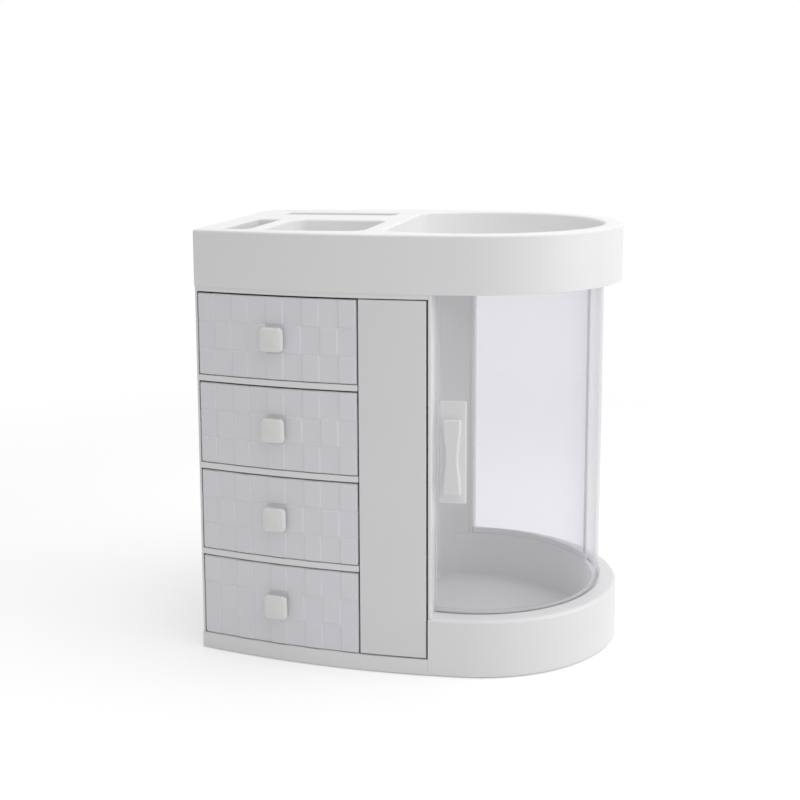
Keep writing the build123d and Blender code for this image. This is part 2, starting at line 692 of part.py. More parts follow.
def handle_grip():
    """Grip with a narrow waist, standing on the plate."""
    half_h = GRIP_H / 2
    end = GRIP_END_W / 2
    waist = GRIP_WAIST_W / 2
    edges = [
        Line((-end, half_h), (end, half_h)),
        Spline([(end, half_h), (waist, 0), (end, -half_h)], tangents=[(0, -1), (0, -1)]),
        Line((end, -half_h), (-end, -half_h)),
        Spline([(-end, -half_h), (-waist, 0), (-end, half_h)], tangents=[(0, 1), (0, 1)]),
    ]
    place = Plane(origin=(0, 0, handle_z - GRIP_DROP), x_dir=(1, 0, 0), z_dir=(0, -1, 0))
    rod = extrude(place * closed_face(edges), amount=ROUND_R, dir=(0, -1, 0))
    r_in = door_r_out + HANDLE_PLATE_T
    grip = rod & drum(r_in + GRIP_PROUD, 0, OVERALL_HEIGHT)
    grip = grip - drum(r_in, 0, OVERALL_HEIGHT)
    outer = grip.faces().sort_by(Axis.Y)[0]
    grip = fillet(outer.edges(), GRIP_EDGE_R)
    for z in handle_screw_heights():
        pilot = handle_bore(SCREW_R + SCREW_HOLE_CLEARANCE, z)
        depth = door_r_out + HANDLE_PLATE_T + GRIP_PROUD - GRIP_EDGE_R
        grip = grip - (pilot & drum(depth, 0, OVERALL_HEIGHT))
    return grip


def handle_screws():
    screws = []
    for z in handle_screw_heights():
        inside = drum(door_r_in, 0, OVERALL_HEIGHT)
        tip = drum(door_r_out + HANDLE_SCREW_BITE, 0, OVERALL_HEIGHT)
        head = drum(door_r_in + HANDLE_SCREW_HEAD_T, 0, OVERALL_HEIGHT)
        shank = (handle_bore(SCREW_R, z) & tip) - inside
        screws.append(shank + ((handle_bore(SCREW_HEAD_R, z) & head) - inside))
    return screws


# ---- top tray ----
def straight_well(x_low, x_high, y_low, y_high, corner_r, grow):
    width = x_high - x_low + 2 * grow
    depth = y_high - y_low + 2 * grow
    outline = RectangleRounded(width, depth, corner_r + grow)
    return (Pos((x_low + x_high) / 2, (y_low + y_high) / 2) * outline).face()


def round_well(grow):
    radius = ROUND_R - TRAY_RIM_W + grow
    flat = ROUND_WELL_LEFT_X - grow
    half = math.sqrt(radius ** 2 - flat ** 2)
    edges = [
        ThreePointArc((flat, -half), (radius, 0), (flat, half)),
        Line((flat, half), (flat, -half)),
    ]
    face = closed_face(edges)
    return face.fillet_2d(ROUND_WELL_CORNER_R + grow, face.vertices())


def well_faces(grow):
    """Outlines of the four wells, made larger all round by grow."""
    small_x = left_x + SMALL_WELL_LEFT
    small_y = SMALL_WELL_SETBACK - half_left
    middle_x = left_x + MIDDLE_WELL_LEFT
    middle_end = ROUND_WELL_LEFT_X - MIDDLE_WELL_BAR_W
    middle_y = MIDDLE_WELL_SETBACK - half_left
    slot_x = left_x + LONG_SLOT_LEFT
    slot_end = ROUND_WELL_LEFT_X - LONG_SLOT_BAR_W
    slot_y = half_left - LONG_SLOT_SETBACK
    small = (small_x, small_x + SMALL_WELL_W, small_y, SMALL_WELL_BACK_Y, SMALL_WELL_CORNER_R)
    middle = (middle_x, middle_end, middle_y, MIDDLE_WELL_BACK_Y, MIDDLE_WELL_CORNER_R)
    slot = (slot_x, slot_end, slot_y - LONG_SLOT_D, slot_y, LONG_SLOT_CORNER_R)
    return [straight_well(*well, grow) for well in (small, middle, slot)] + [round_well(grow)]


def top_tray():
    """Tray with four wells, hollow underneath, carrying the door's upper track."""
    deck_z = OVERALL_HEIGHT - TRAY_DECK_T
    tray = slab(0, tray_bottom, OVERALL_HEIGHT) - slab(TRAY_SKIRT_T, tray_bottom, deck_z)
    for face in well_faces(WELL_WALL_T):
        tray = tray + raise_face(face, well_under_z, deck_z + TRAY_DECK_T / 2)
    for x, y in both_sides(TRAY_SCREW_PLACES):
        tray = tray + drum(TRAY_BOSS_R, tray_bottom, deck_z + TRAY_DECK_T / 2, x, y)
    rib_low = tray_bottom + TRACK_RIB_FOOT
    rib_high = well_floor_z - WELL_WALL_T / 2
    inner_out = screen_r_in - SCREEN_FIT
    for r_in, r_out in (
        (inner_out - TRACK_RIB_T, inner_out),
        (track_r_out, track_r_out + TRACK_RIB_T),
    ):
        rib = drum(r_out, rib_low, rib_high) - drum(r_in, rib_low, rib_high)
        tray = tray + (rib & right_of(PILLAR_RIGHT_X))
    for face in well_faces(0):
        tray = tray - raise_face(face, well_floor_z, OVERALL_HEIGHT + SPARE)
    depth = TRAY_SCREW_BITE + PILOT_SPARE
    for x, y in both_sides(TRAY_SCREW_PLACES):
        pilot_r = SCREW_R + SCREW_HOLE_CLEARANCE
        tray = tray - drum(pilot_r, tray_bottom, tray_bottom + depth, x, y)
    return fillet(edges_at_height(tray, OVERALL_HEIGHT), TRAY_EDGE_R)


def tray_screws():
    screws = []
    for x, y in both_sides(TRAY_SCREW_PLACES):
        head = drum(SCREW_HEAD_R, bay_ceiling - SCREW_HEAD_T, bay_ceiling, x, y)
        screws.append(head + drum(SCREW_R, bay_ceiling, tray_bottom + TRAY_SCREW_BITE, x, y))
    return screws


# ---- the whole cabinet ----
def all_pieces():
    pieces = {
        "drawer_plinth": drawer_plinth(),
        "round_base": round_base(),
        "pocket_wall": pocket_wall(),
        "pocket_floor": pocket_floor(),
        "rubber_feet": rubber_feet(),
        "left_side_panel": left_side_panel(),
        "back_panel": back_panel(),
        "drawer_divider": drawer_divider(),
        "compartment_wall": compartment_wall(),
        "front_pillar": pillar(-1),
        "back_pillar": pillar(1),
        "cabinet_top": cabinet_top(),
        "top_tray": top_tray(),
        "tray_screws": tray_screws(),
        "rack_guides": rack_guides(),
        "back_screen_rail": back_screen_rail(),
        "back_screen": back_screen(),
        "door_panel": door_panel(),
        "door_bottom_rail": door_bottom_rail(),
        "door_handle_plate": handle_plate(),
        "door_handle_grip": handle_grip(),
        "door_handle_screws": handle_screws(),
        "rack_front": rack_front(),
        "rack_spine": rack_spine(),
        "rack_back": rack_back(),
    }
    for number in range(1, DRAWER_COUNT):
        pieces[f"drawer_shelf_{number}"] = drawer_shelf(number)
    for number in range(RACK_SHELF_COUNT):
        z = PLINTH_TOP + RACK_FIRST_SHELF + number * RACK_SHELF_PITCH
        pieces[f"rack_shelf_{number + 1}"] = rack_shelf(z)
    drawer = {
        "box": drawer_box(),
        "front": drawer_front(),
        "knob": drawer_knob(),
        "knob_stem": knob_stem(),
        "knob_screw": knob_screw(),
    }
    for number in range(1, DRAWER_COUNT + 1):
        drop = Pos(0, 0, bay_floor(number) - bay_floor(1))
        for name, solid in drawer.items():
            pieces[f"drawer_{number}_{name}"] = drop * solid
    return pieces


def main():
    os.makedirs("parts", exist_ok=True)
    pieces = {}
    for name, piece in all_pieces().items():
        solids = piece if isinstance(piece, list) else piece.solids()
        pieces[name] = Compound([solid for item in solids for solid in item.solids()])
    whole = Compound(list(pieces.values())).bounding_box()
    shift = Pos(-(whole.min.X + whole.max.X) / 2, -(whole.min.Y + whole.max.Y) / 2, 0)
    print("overall", whole.size)
    print("round end centre", shift.position)
    for name, piece in pieces.items():
        export_step(shift * piece, f"parts/{name}.step")


main()
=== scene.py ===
"""Finished look of a vanity cabinet with drawers, a pull-out rack and a turning clear door.

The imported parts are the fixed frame.  Softly rounded mouldings stand in for the parts that show
most, and the others keep their own mesh under a moulded-plastic, steel or rubber finish.
"""

import json
import math

import bmesh
import bpy
from mathutils import Matrix, Vector

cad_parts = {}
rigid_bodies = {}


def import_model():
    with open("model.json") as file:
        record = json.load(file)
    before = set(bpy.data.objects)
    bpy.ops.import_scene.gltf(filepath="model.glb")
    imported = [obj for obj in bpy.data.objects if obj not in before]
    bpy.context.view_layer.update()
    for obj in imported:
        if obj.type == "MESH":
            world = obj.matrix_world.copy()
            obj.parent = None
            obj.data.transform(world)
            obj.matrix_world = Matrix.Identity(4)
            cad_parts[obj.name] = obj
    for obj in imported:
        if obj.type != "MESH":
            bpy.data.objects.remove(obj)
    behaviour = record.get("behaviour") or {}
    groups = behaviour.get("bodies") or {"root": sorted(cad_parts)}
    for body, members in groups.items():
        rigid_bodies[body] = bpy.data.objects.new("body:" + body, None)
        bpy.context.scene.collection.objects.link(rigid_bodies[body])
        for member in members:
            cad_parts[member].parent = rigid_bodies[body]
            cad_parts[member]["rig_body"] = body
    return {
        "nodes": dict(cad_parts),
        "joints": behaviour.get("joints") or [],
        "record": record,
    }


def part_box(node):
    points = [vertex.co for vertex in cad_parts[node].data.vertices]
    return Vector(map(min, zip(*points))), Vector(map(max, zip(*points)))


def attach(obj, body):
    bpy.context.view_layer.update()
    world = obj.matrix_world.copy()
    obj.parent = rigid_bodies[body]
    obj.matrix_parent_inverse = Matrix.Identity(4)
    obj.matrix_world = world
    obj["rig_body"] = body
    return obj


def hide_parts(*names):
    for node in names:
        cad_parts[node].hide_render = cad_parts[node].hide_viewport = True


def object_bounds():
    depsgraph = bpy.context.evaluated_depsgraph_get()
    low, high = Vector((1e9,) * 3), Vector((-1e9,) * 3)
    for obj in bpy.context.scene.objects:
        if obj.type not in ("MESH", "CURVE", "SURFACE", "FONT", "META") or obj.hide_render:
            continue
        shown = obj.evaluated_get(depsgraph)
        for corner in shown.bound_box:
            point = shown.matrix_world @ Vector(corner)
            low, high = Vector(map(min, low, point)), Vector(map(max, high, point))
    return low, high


bl_info = {
    "name": "Vanity cabinet",
    "version": (1, 0, 0),
    "blender": (4, 5, 0),
    "location": "3D View > Sidebar > Vanity",
    "description": "Mouldings, finishes and studio for a vanity cabinet with a turning door",
    "category": "Add Mesh",
}

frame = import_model()
CAD_LOW, CAD_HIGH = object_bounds()
NODES = frame["nodes"]
DRAWERS = sum(name.endswith("_box") for name in NODES)
door_joint = next(joint for joint in frame["joints"] if joint["name"] == "door_turn")
AXIS_X, AXIS_Y, _ = door_joint["pos_m"]
ROUND_R = CAD_HIGH.x - AXIS_X


# ---- sizes, colours and light that can be set ----
def length(name, description, default):
    return bpy.props.FloatProperty(
        name=name, description=description, default=default, unit="LENGTH", precision=5
    )


def colour(name, description, default):
    return bpy.props.FloatVectorProperty(
        name=name, description=description, default=default, subtype="COLOR", min=0, max=1
    )


def share(name, description, default):
    return bpy.props.FloatProperty(
        name=name, description=description, default=default, subtype="FACTOR", min=0, max=1
    )


def angle(name, description, default):
    return bpy.props.FloatProperty(
        name=name, description=description, default=default, subtype="ANGLE"
    )


def power(name, description, default):
    return bpy.props.FloatProperty(
        name=name, description=description, default=default, unit="POWER"
    )


def count(name, description, default):
    return bpy.props.IntProperty(name=name, description=description, default=default, min=1)


def well(name, default):
    return bpy.props.FloatVectorProperty(
        name=name,
        description="Left, right, front and back edge, from the round end's centre",
        default=default,
        size=4,
        unit="LENGTH",
    )


class VanityShape(bpy.types.PropertyGroup):
    """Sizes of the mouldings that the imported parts' boxes don't give."""

    bow_radius: length("Bow radius", "Radius of the bowed front and back", 0.640)
    bow_offset: length("Bow centre", "Bow's centre from the round end's centre along X", -0.045)
    front_corner: length("Front corner", "Corner radius of the outline, front left", 0.0024)
    back_corner: length("Back corner", "Corner radius of the outline, back left", 0.013)
    body_inset: length("Body inset", "How far the walls stand back from tray and base", 0.0006)
    wall: length("Wall", "Thickness of the side and the back", 0.002)
    soft_edge: length("Soft edge", "Rounding of a moulded edge", 0.0005)
    skirt: length("Skirt", "Thickness of the tray's and the base's skirt", 0.0025)
    tray_edge: length("Tray edge", "Rounding of the tray's top edges", 0.0022)
    well_floor: length("Well floor", "Height of the wells' floor", 0.303)
    well_wall: length("Well wall", "Thickness of the wells' walls", 0.0022)
    well_foot: length("Well foot", "Rounding between a well's wall and floor", 0.0030)
    small_well: well("Small well", (-0.187, -0.1645, -0.091, 0.006))
    middle_well: well("Middle well", (-0.1535, -0.073, -0.096, 0.005))
    long_slot: well("Long slot", (-0.181, -0.078, 0.054, 0.084))
    small_corner: length("Small well corner", "Corner radius of the small well", 0.004)
    middle_corner: length("Middle well corner", "Corner radius of the middle well", 0.013)
    slot_corner: length("Long slot corner", "Corner radius of the long slot", 0.005)
    round_corner: length("Round well corner", "Corners beside the round well's flat wall", 0.009)
    round_well_radius: length("Round well", "Radius of the round well", 0.1045)
    round_well_left: length("Round well left", "Flat left wall of the round well", -0.058)
    ring_edge: length("Ring edge", "Rounding of the base ring's shoulder", 0.003)
    pocket_radius: length("Pocket", "Radius of the sunken pocket", 0.0996)
    pocket_wall: length("Pocket wall", "Thickness of the pocket's wall", 0.0022)
    screen_setback: length("Screen setback", "From the pocket's rim to the back screen", 0.0009)
    pocket_corner: length("Pocket corner", "Rounding beside the pocket's flat wall", 0.0012)
    pocket_flat: length("Pocket flat", "Flat left wall of the pocket", -0.042)
    pocket_floor: length("Pocket floor", "Height of the pocket's floor", 0.007)
    ledge: length("Ledge", "Thickness of the ledge under the door's track", 0.0055)
    ledge_reach: length("Ledge reach", "How far the ledge is thick outside the pocket", 0.0057)
    track_clearance: length("Track clearance", "Gap on each side of the door in its track", 0.0003)
    track_depth: length("Track depth", "Depth of the door's track in the ledge", 0.003)
    track_rib: length("Track rib", "Thickness of the ribs beside the upper track", 0.002)
    relief_depth: length("Relief depth", "How far the raised cells stand out", 0.0009)
    relief_slope: length("Relief slope", "Width of the rounded edge of a cell", 0.0012)
    relief_gap: length("Relief gap", "Groove between two cells", 0.0005)
    relief_corner: length("Relief corner", "Corner radius of a cell", 0.0016)
    relief_columns: count("Relief columns", "Cells across a drawer front", 9)
    relief_rows: count("Relief rows", "Cells up a drawer front", 3)
    front_thickness: length("Front", "Thickness of a drawer front", 0.003)
    front_edge: length("Front edge", "Rounding of the fronts' edges", 0.0009)
    knob_width: length("Knob width", "Side of the square knob", 0.019)
    knob_corner: length("Knob corner", "Corner radius of the knob", 0.0036)
    knob_edge: length("Knob edge", "Rounding of the knob's face edge", 0.0018)
    knob_crown: length("Knob crown", "Radius of the knob's crowned face", 0.042)
    knob_cap: length("Knob cap", "Thickness of the knob's cap", 0.005)
    knob_stem: length("Knob stem", "Length of the stem behind the cap", 0.0049)
    knob_stem_radius: length("Stem radius", "Radius of the knob's stem", 0.0055)
    door_sheet: length("Door sheet", "Thickness of the door's clear sheet", 0.002)
    door_gap: length("Door gap", "From the pillar to the shut door", 0.0008)
    door_span: angle("Door span", "Turn of the door sheet", math.radians(127.5))
    door_bead: length("Door bead", "Thickness of the bead at the door's foot", 0.0012)
    screen_sheet: length("Screen sheet", "Thickness of the back screen", 0.0016)
    screen_start: angle("Screen start", "Turn of the screen's free edge", math.radians(24))
    rail_lip: length("Rail lip", "How far the screen's foot rail stands out on each side", 0.0006)
    sheet_edge: length("Sheet edge", "Rounding of the clear sheets' edges", 0.0006)
    plate_corner: length("Plate corner", "Corner radius of the handle plate", 0.0018)
    plate_edge: length("Plate edge", "Rounding round the handle plate's face", 0.0013)
    grip_waist: length("Grip waist", "Width of the grip's waist", 0.0094)
    grip_corner: length("Grip corner", "Corner radius of the grip's ends", 0.0020)
    grip_edge: length("Grip edge", "Rounding round the grip's face", 0.0017)


class VanityFinish(bpy.types.PropertyGroup):
    """Colours and gloss of the plastics, the steel and the rubber."""

    body: colour("Body", "White of the tray, base and walls", (0.87, 0.87, 0.875))
    rack: colour("Rack", "White of the pull-out rack", (0.82, 0.82, 0.83))
    front: colour("Drawer front", "White of the drawer fronts", (0.815, 0.815, 0.85))
    box: colour("Drawer box", "White of the drawer boxes", (0.84, 0.84, 0.85))
    knob: colour("Knob", "White of the knobs", (0.85, 0.85, 0.84))
    handle: colour("Handle", "White of the door's handle", (0.84, 0.84, 0.85))
    clear: colour("Clear door", "Tint of the light through the door", (0.990, 0.989, 0.990))
    screen: colour("Back screen", "Tint of the light through the back screen", (0.93, 0.925, 0.95))
    gloss: colour("Clear gloss", "Colour of the clear sheets' surface", (0.72, 0.71, 0.76))
    rim: colour("Clear rim", "Colour of the clear sheets' upright ends", (0.95, 0.95, 0.96))
    rim_veil: share("Rim veil", "How much of the clear sheets' ends shows", 0.70)
    veil: share("Veil", "How much of the clear sheets' surface shows face on", 0.045)
    steel: colour("Steel", "Colour of the screws", (0.62, 0.62, 0.60))
    rubber: colour("Rubber", "Colour of the feet", (0.045, 0.045, 0.048))
    roughness: share("Roughness", "Roughness of the moulded plastic", 0.34)


class VanityStudio(bpy.types.PropertyGroup):
    """Floor, lamps and camera."""

    floor: colour("Floor", "Colour of the floor", (0.90, 0.90, 0.90))
    sky: bpy.props.FloatProperty(name="Sky", description="Light from all round", default=0.48)
    top_power: power("Top lamp", "Power of the lamp overhead", 8.0)
    front_power: power("Front lamp", "Power of the lamp in front", 2.2)
    side_power: power("Side lamp", "Power of the lamp on the right", 6.3)
    camera_place: bpy.props.FloatVectorProperty(
        name="Camera",
        description="Camera from the foot of the round end's axis",
        default=(0.1581, -1.1034, 0.4336),
        subtype="TRANSLATION",
    )
    yaw: angle("Yaw", "Turn of the view", -0.2295)
    pitch: angle("Pitch", "Downward tilt of the view", 0.1547)
    roll: angle("Roll", "Roll of the view", -0.0082)
    lens: bpy.props.FloatProperty(
        name="Lens", description="Focal length on a 36 mm sensor", default=61.55, unit="CAMERA"
    )
    shift: bpy.props.FloatVectorProperty(
        name="Shift", description="Camera shift across and up", default=(0.056, -0.101), size=2
    )


# ---- outlines in plan ----
def arc(centre, radius, start, end, steps):
    """Points on a circle from one angle to another, both ends included."""
    points = []
    for k in range(steps + 1):
        turn = start + (end - start) * k / steps
        points.append((centre[0] + radius * math.cos(turn), centre[1] + radius * math.sin(turn)))
    return points


def offset(outline, distance):
    """A closed anticlockwise outline moved inwards by distance."""
    moved = []
    for k, (x, y) in enumerate(outline):
        before = Vector((x, y)) - Vector(outline[k - 1])
        after = Vector(outline[(k + 1) % len(outline)]) - Vector((x, y))
        before.normalize()
        after.normalize()
        inward = Vector((-before.y - after.y, before.x + after.x))
        scale = 2 * distance / max(inward.length_squared, 1e-9)
        moved.append((x + inward.x * scale, y + inward.y * scale))
    return moved


def soften(outline, radius, sharpest=0.5, steps=4):
    """Rounds every corner of a closed outline that turns by more than sharpest radians.

    Where an edge beside the corner is too short for the radius, the rounding is smaller."""
    rounded = []
    for k, point in enumerate(outline):
        corner = Vector(point)
        before = Vector(outline[k - 1]) - corner
        after = Vector(outline[(k + 1) % len(outline)]) - corner
        shortest = min(before.length, after.length)
        before.normalize()
        after.normalize()
        between = before.angle(after)
        if math.pi - between < sharpest:
            rounded.append(point)
            continue
        reach = min(radius / math.tan(between / 2), shortest * 0.45)
        middle = corner + (before + after).normalized() * (reach / math.cos(between / 2))
        first = corner + before * reach - middle
        start = math.atan2(first.y, first.x)
        sweep = math.pi - between if before.cross(after) < 0 else between - math.pi
        rounded += arc(middle, first.length, start, start + sweep, steps)
    return rounded


def anticlockwise(outline):
    area = sum(
        a[0] * b[1] - b[0] * a[1] for a, b in zip(outline, outline[1:] + outline[:1])
    )
    return outline if area > 0 else outline[::-1]


def sector(r_in, r_out, start, end, corner, steps=48):
    """Closed outline of a curved wall about the round end's axis."""
    centre = (AXIS_X, AXIS_Y)
    wall = arc(centre, r_out, start, end, steps) + arc(centre, r_in, end, start, steps)
    return soften(anticlockwise(wall), corner)


def cut_circle(radius, flat, corner, steps=96):
    """Closed outline of a circle about the axis, cut off straight at x = flat on its left."""
    x = flat + corner
    y = math.sqrt((radius - corner) ** 2 - x ** 2)
    touch = math.atan2(y, x)
    circle = arc((AXIS_X, AXIS_Y), radius, -touch, touch, steps)
    back = arc((AXIS_X + x, AXIS_Y + y), corner, touch, math.pi, 8)
    front = arc((AXIS_X + x, AXIS_Y - y), corner, math.pi, 2 * math.pi - touch, 8)
    return circle + back[1:] + front[:-1]


def rounded_rectangle(bounds, corner, steps=10):
    """Closed outline of a rectangle given from the round end's centre."""
    left, right, front, back = bounds
    points = []
    for x, y, start in (
        (right - corner, back - corner, 0),
        (left + corner, back - corner, 1),
        (left + corner, front + corner, 2),
        (right - corner, front + corner, 3),
    ):
        centre = (AXIS_X + x, AXIS_Y + y)
        points += arc(centre, corner, start * math.pi / 2, (start + 1) * math.pi / 2, steps)
    return points


class Plan:
    """The cabinet seen from above: a bowed front and back that run into a round end."""

    BOW_STEP = 0.006
    ROUND_STEPS = 96
    CORNER_STEPS = 8
    LEAST_CORNER = 0.0004

    def __init__(self, shape):
        self.shape = shape
        self.bow_x = AXIS_X + shape.bow_offset
        self.reach = math.sqrt((shape.bow_radius - ROUND_R) ** 2 - shape.bow_offset ** 2)
        self.touch = math.atan2(self.reach, -shape.bow_offset)

    def depth(self, x, inset):
        """Half depth of the outline at x."""
        radius = self.shape.bow_radius - inset
        return math.sqrt(radius ** 2 - (x - self.bow_x) ** 2) - self.reach

    def bow(self, x_from, x_to, inset, side, steps=None):
        """Points along the bow; side is -1 at the front and 1 at the back."""
        steps = steps or max(1, round(abs(x_to - x_from) / self.BOW_STEP))
        radius = self.shape.bow_radius - inset
        start = math.asin((x_from - self.bow_x) / radius)
        end = math.asin((x_to - self.bow_x) / radius)
        points = []
        for k in range(steps + 1):
            turn = start + (end - start) * k / steps
            depth = radius * math.cos(turn) - self.reach
            points.append((self.bow_x + radius * math.sin(turn), AXIS_Y + side * depth))
        return points

    def corner(self, inset, side):
        """Left corner, from the left wall to the bow."""
        radius = self.shape.front_corner if side < 0 else self.shape.back_corner
        radius = max(radius - inset, self.LEAST_CORNER)
        x = CAD_LOW.x + inset + radius
        depth = self.depth(x, inset + radius)
        away = math.atan2(depth + self.reach, x - self.bow_x)
        turns = arc((x, depth), radius, math.pi, away, self.CORNER_STEPS)
        return [(a, AXIS_Y + side * b) for a, b in turns]

    def left_and_bow(self, x_end, inset, side, steps=None):
        corner = self.corner(inset, side)
        return corner[:-1] + self.bow(corner[-1][0], x_end, inset, side, steps)

    def touch_x(self, inset):
        return AXIS_X + (ROUND_R - inset) * math.cos(self.touch)

    def whole(self, inset):
        """The closed outline, anticlockwise from the front left corner."""
        front = self.left_and_bow(self.touch_x(inset), inset, -1)
        back = self.left_and_bow(self.touch_x(inset), inset, 1)
        centre = (AXIS_X, AXIS_Y)
        end = arc(centre, ROUND_R - inset, -self.touch, self.touch, self.ROUND_STEPS)
        return front + end[1:-1] + back[::-1]

    def ray(self, turn, inset):
        """Distance from the axis to the outline in the direction turn."""
        if abs(turn) <= self.touch:
            return ROUND_R - inset
        radius = self.shape.bow_radius - inset
        along = self.shape.bow_offset * math.cos(turn) - self.reach * abs(math.sin(turn))
        centre = self.shape.bow_offset ** 2 + self.reach ** 2
        return along + math.sqrt(along ** 2 - centre + radius ** 2)


# ---- meshes ----
SEAT_GAP = 0.0001
RIB_LIFT = 0.0002


def edge_steps(low, high, low_round, high_round, steps=4):
    """(inset, height) steps up an upright side with rounded ends."""
    profile = []
    for k in range(steps + 1 if low_round else 1):
        turn = math.pi / 2 * k / steps
        profile.append((low_round * (1 - math.sin(turn)), low + low_round * (1 - math.cos(turn))))
    for k in range(steps + 1 if high_round else 1):
        turn = math.pi / 2 * k / steps
        drop = high_round * (1 - math.sin(turn))
        profile.append((high_round * (1 - math.cos(turn)), high - drop))
    return profile


class Moulding:
    """A mesh put together from rings of points."""

    SMOOTH = math.radians(38)

    def __init__(self):
        self.mesh = bmesh.new()

    def ring(self, outline, height):
        return [self.mesh.verts.new((x, y, height)) for x, y in outline]

    def points(self, places):
        return [self.mesh.verts.new(place) for place in places]

    def strip(self, low, high, closed=True):
        count = len(low)
        for k in range(count if closed else count - 1):
            after = (k + 1) % count
            self.mesh.faces.new((low[k], low[after], high[after], high[k]))

    def skin(self, rings, closed=True):
        for low, high in zip(rings, rings[1:]):
            self.strip(low, high, closed)

    def cap(self, ring):
        self.mesh.faces.new(ring)

    def holed_cap(self, rings):
        """Flat face inside the first ring and outside the others."""
        edges = []
        for ring in rings:
            for k, vertex in enumerate(ring):
                pair = (ring[k - 1], vertex)
                edges.append(self.mesh.edges.get(pair) or self.mesh.edges.new(pair))
        bmesh.ops.triangle_fill(self.mesh, use_beauty=True, edges=edges)

    def folded_cap(self, ring):
        """Flat face of a curved strip, whose two long sides have the same number of points."""
        last = len(ring) - 1
        for k in range(last // 2):
            self.mesh.faces.new((ring[k], ring[k + 1], ring[last - 1 - k], ring[last - k]))

    def slab(self, outline, low, high, low_round=0.0, high_round=0.0, cap=None):
        """Upright prism on a closed outline with rounded lower and upper edges."""
        cap = cap or self.cap
        rings = []
        for inset, height in edge_steps(low, high, low_round, high_round):
            rings.append(self.ring(offset(outline, inset), height))
        self.skin(rings)
        cap(rings[0])
        cap(rings[-1])

    def curved_slab(self, outline, low, high, low_round=0.0, high_round=0.0):
        """Upright curved strip with rounded lower and upper edges."""
        self.slab(outline, low, high, low_round, high_round, self.folded_cap)

    def pad(self, right_side, across, profile, place):
        """Closed pad whose right edge, from bottom to top, is given as (across, up) points.

        profile holds its (inset, out) steps, and place maps (across, up, out) to the frame."""
        left_side = [(-x, z) for x, z in right_side[::-1]]
        (low_x, low_z), (high_x, high_z) = right_side[0], right_side[-1]
        parts = [2 * k / across - 1 for k in range(1, across)]
        top = [(-high_x * part, high_z) for part in parts]
        bottom = [(low_x * part, low_z) for part in parts]
        outline = right_side + top + left_side + bottom
        rings = []
        for inset, out in profile:
            flat = offset(outline, inset)
            rings.append(self.points([place(x, z, out) for x, z in flat]))
        self.skin(rings)
        for ring, (inset, out) in ((rings[0], profile[0]), (rings[-1], profile[-1])):
            self.pad_face(ring, offset(outline, inset), len(right_side), across, out, place)

    def pad_face(self, ring, flat, rows, across, out, place):
        """Rows of quads over one face of a pad."""
        grid = []
        for row in range(rows):
            left = 2 * rows + across - 2 - row
            if row == rows - 1:
                line = ring[row : left + 1]
            elif row == 0:
                line = [ring[0]] + ring[:left:-1] + [ring[left]]
            else:
                line = [ring[row]]
                for k in range(1, across):
                    x, z = Vector(flat[row]).lerp(Vector(flat[left]), k / across)
                    line.append(self.mesh.verts.new(place(x, z, out)))
                line.append(ring[left])
            grid.append(line)
        self.skin(grid, closed=False)

    def piece(self, name, material):
        """The finished mesh as an object with smooth, face-weighted shading."""
        bmesh.ops.recalc_face_normals(self.mesh, faces=self.mesh.faces)
        data = bpy.data.meshes.new(name)
        self.mesh.to_mesh(data)
        self.mesh.free()
        data.shade_smooth()
        data.set_sharp_from_angle(angle=self.SMOOTH)
        data.materials.append(material)
        made = bpy.data.objects.new(name, data)
        bpy.context.scene.collection.objects.link(made)
        weighted = made.modifiers.new("even shading", "WEIGHTED_NORMAL")
        weighted.keep_sharp = True
        return made


def dress(moulding, name, nodes, finish):
    """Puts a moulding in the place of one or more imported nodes, on the same body.

    Gives back the new object."""
    nodes = (nodes,) if isinstance(nodes, str) else nodes
    made = moulding.piece(name, finished(finish))
    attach(made, NODES[nodes[0]]["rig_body"])
    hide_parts(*nodes)
    return made


# ---- finishes ----
FLOW_SCALE = 16.0
FLOW_SHADE = 0.965
GRAIN_SCALE = 1500.0
GRAIN_DEPTH = 0.0004
EVEN_GLOSS = 0.04
FLOW_GLOSS = 0.06
GRAIN_GLOSS = 0.03
COAT_ROUGHNESS = 0.12
PLASTIC_IOR = 1.49
RIPPLE_SCALE = 9.0
RIPPLE_SHOWN = 0.01
RIPPLE_GLOSS = 0.02
EDGE_ON_POWER = 4.0
POLISHED_ROUGHNESS = 0.03
ZINC_SCALE = 900.0
ZINC_SHADE = 0.8
STEEL_ROUGHNESS = 0.25
STEEL_GLOSS = 0.2
RUBBER_SCALE = 2200.0
RUBBER_DEPTH = 0.0002
RUBBER_DUST = 1.6
RUBBER_ROUGHNESS = 0.72
RUBBER_GLOSS = 0.15
RUBBER_BUMP = 0.25
CARRIED_EDGE = 0.0004


class Number:
    """A shader value that Python arithmetic carries on with Math nodes."""

    def __init__(self, finish, socket):
        self.finish = finish
        self.socket = socket

    def maths(self, operation, first, second):
        node = self.finish.node("ShaderNodeMath", {"operation": operation}, {0: first, 1: second})
        return Number(self.finish, node.outputs[0])

    def __add__(self, other):
        return self.maths("ADD", self, other)

    def __radd__(self, other):
        return self.maths("ADD", other, self)

    def __mul__(self, other):
        return self.maths("MULTIPLY", self, other)

    def __rmul__(self, other):
        return self.maths("MULTIPLY", other, self)

    def __pow__(self, other):
        return self.maths("POWER", self, other)

    def __rpow__(self, other):
        return self.maths("POWER", other, self)


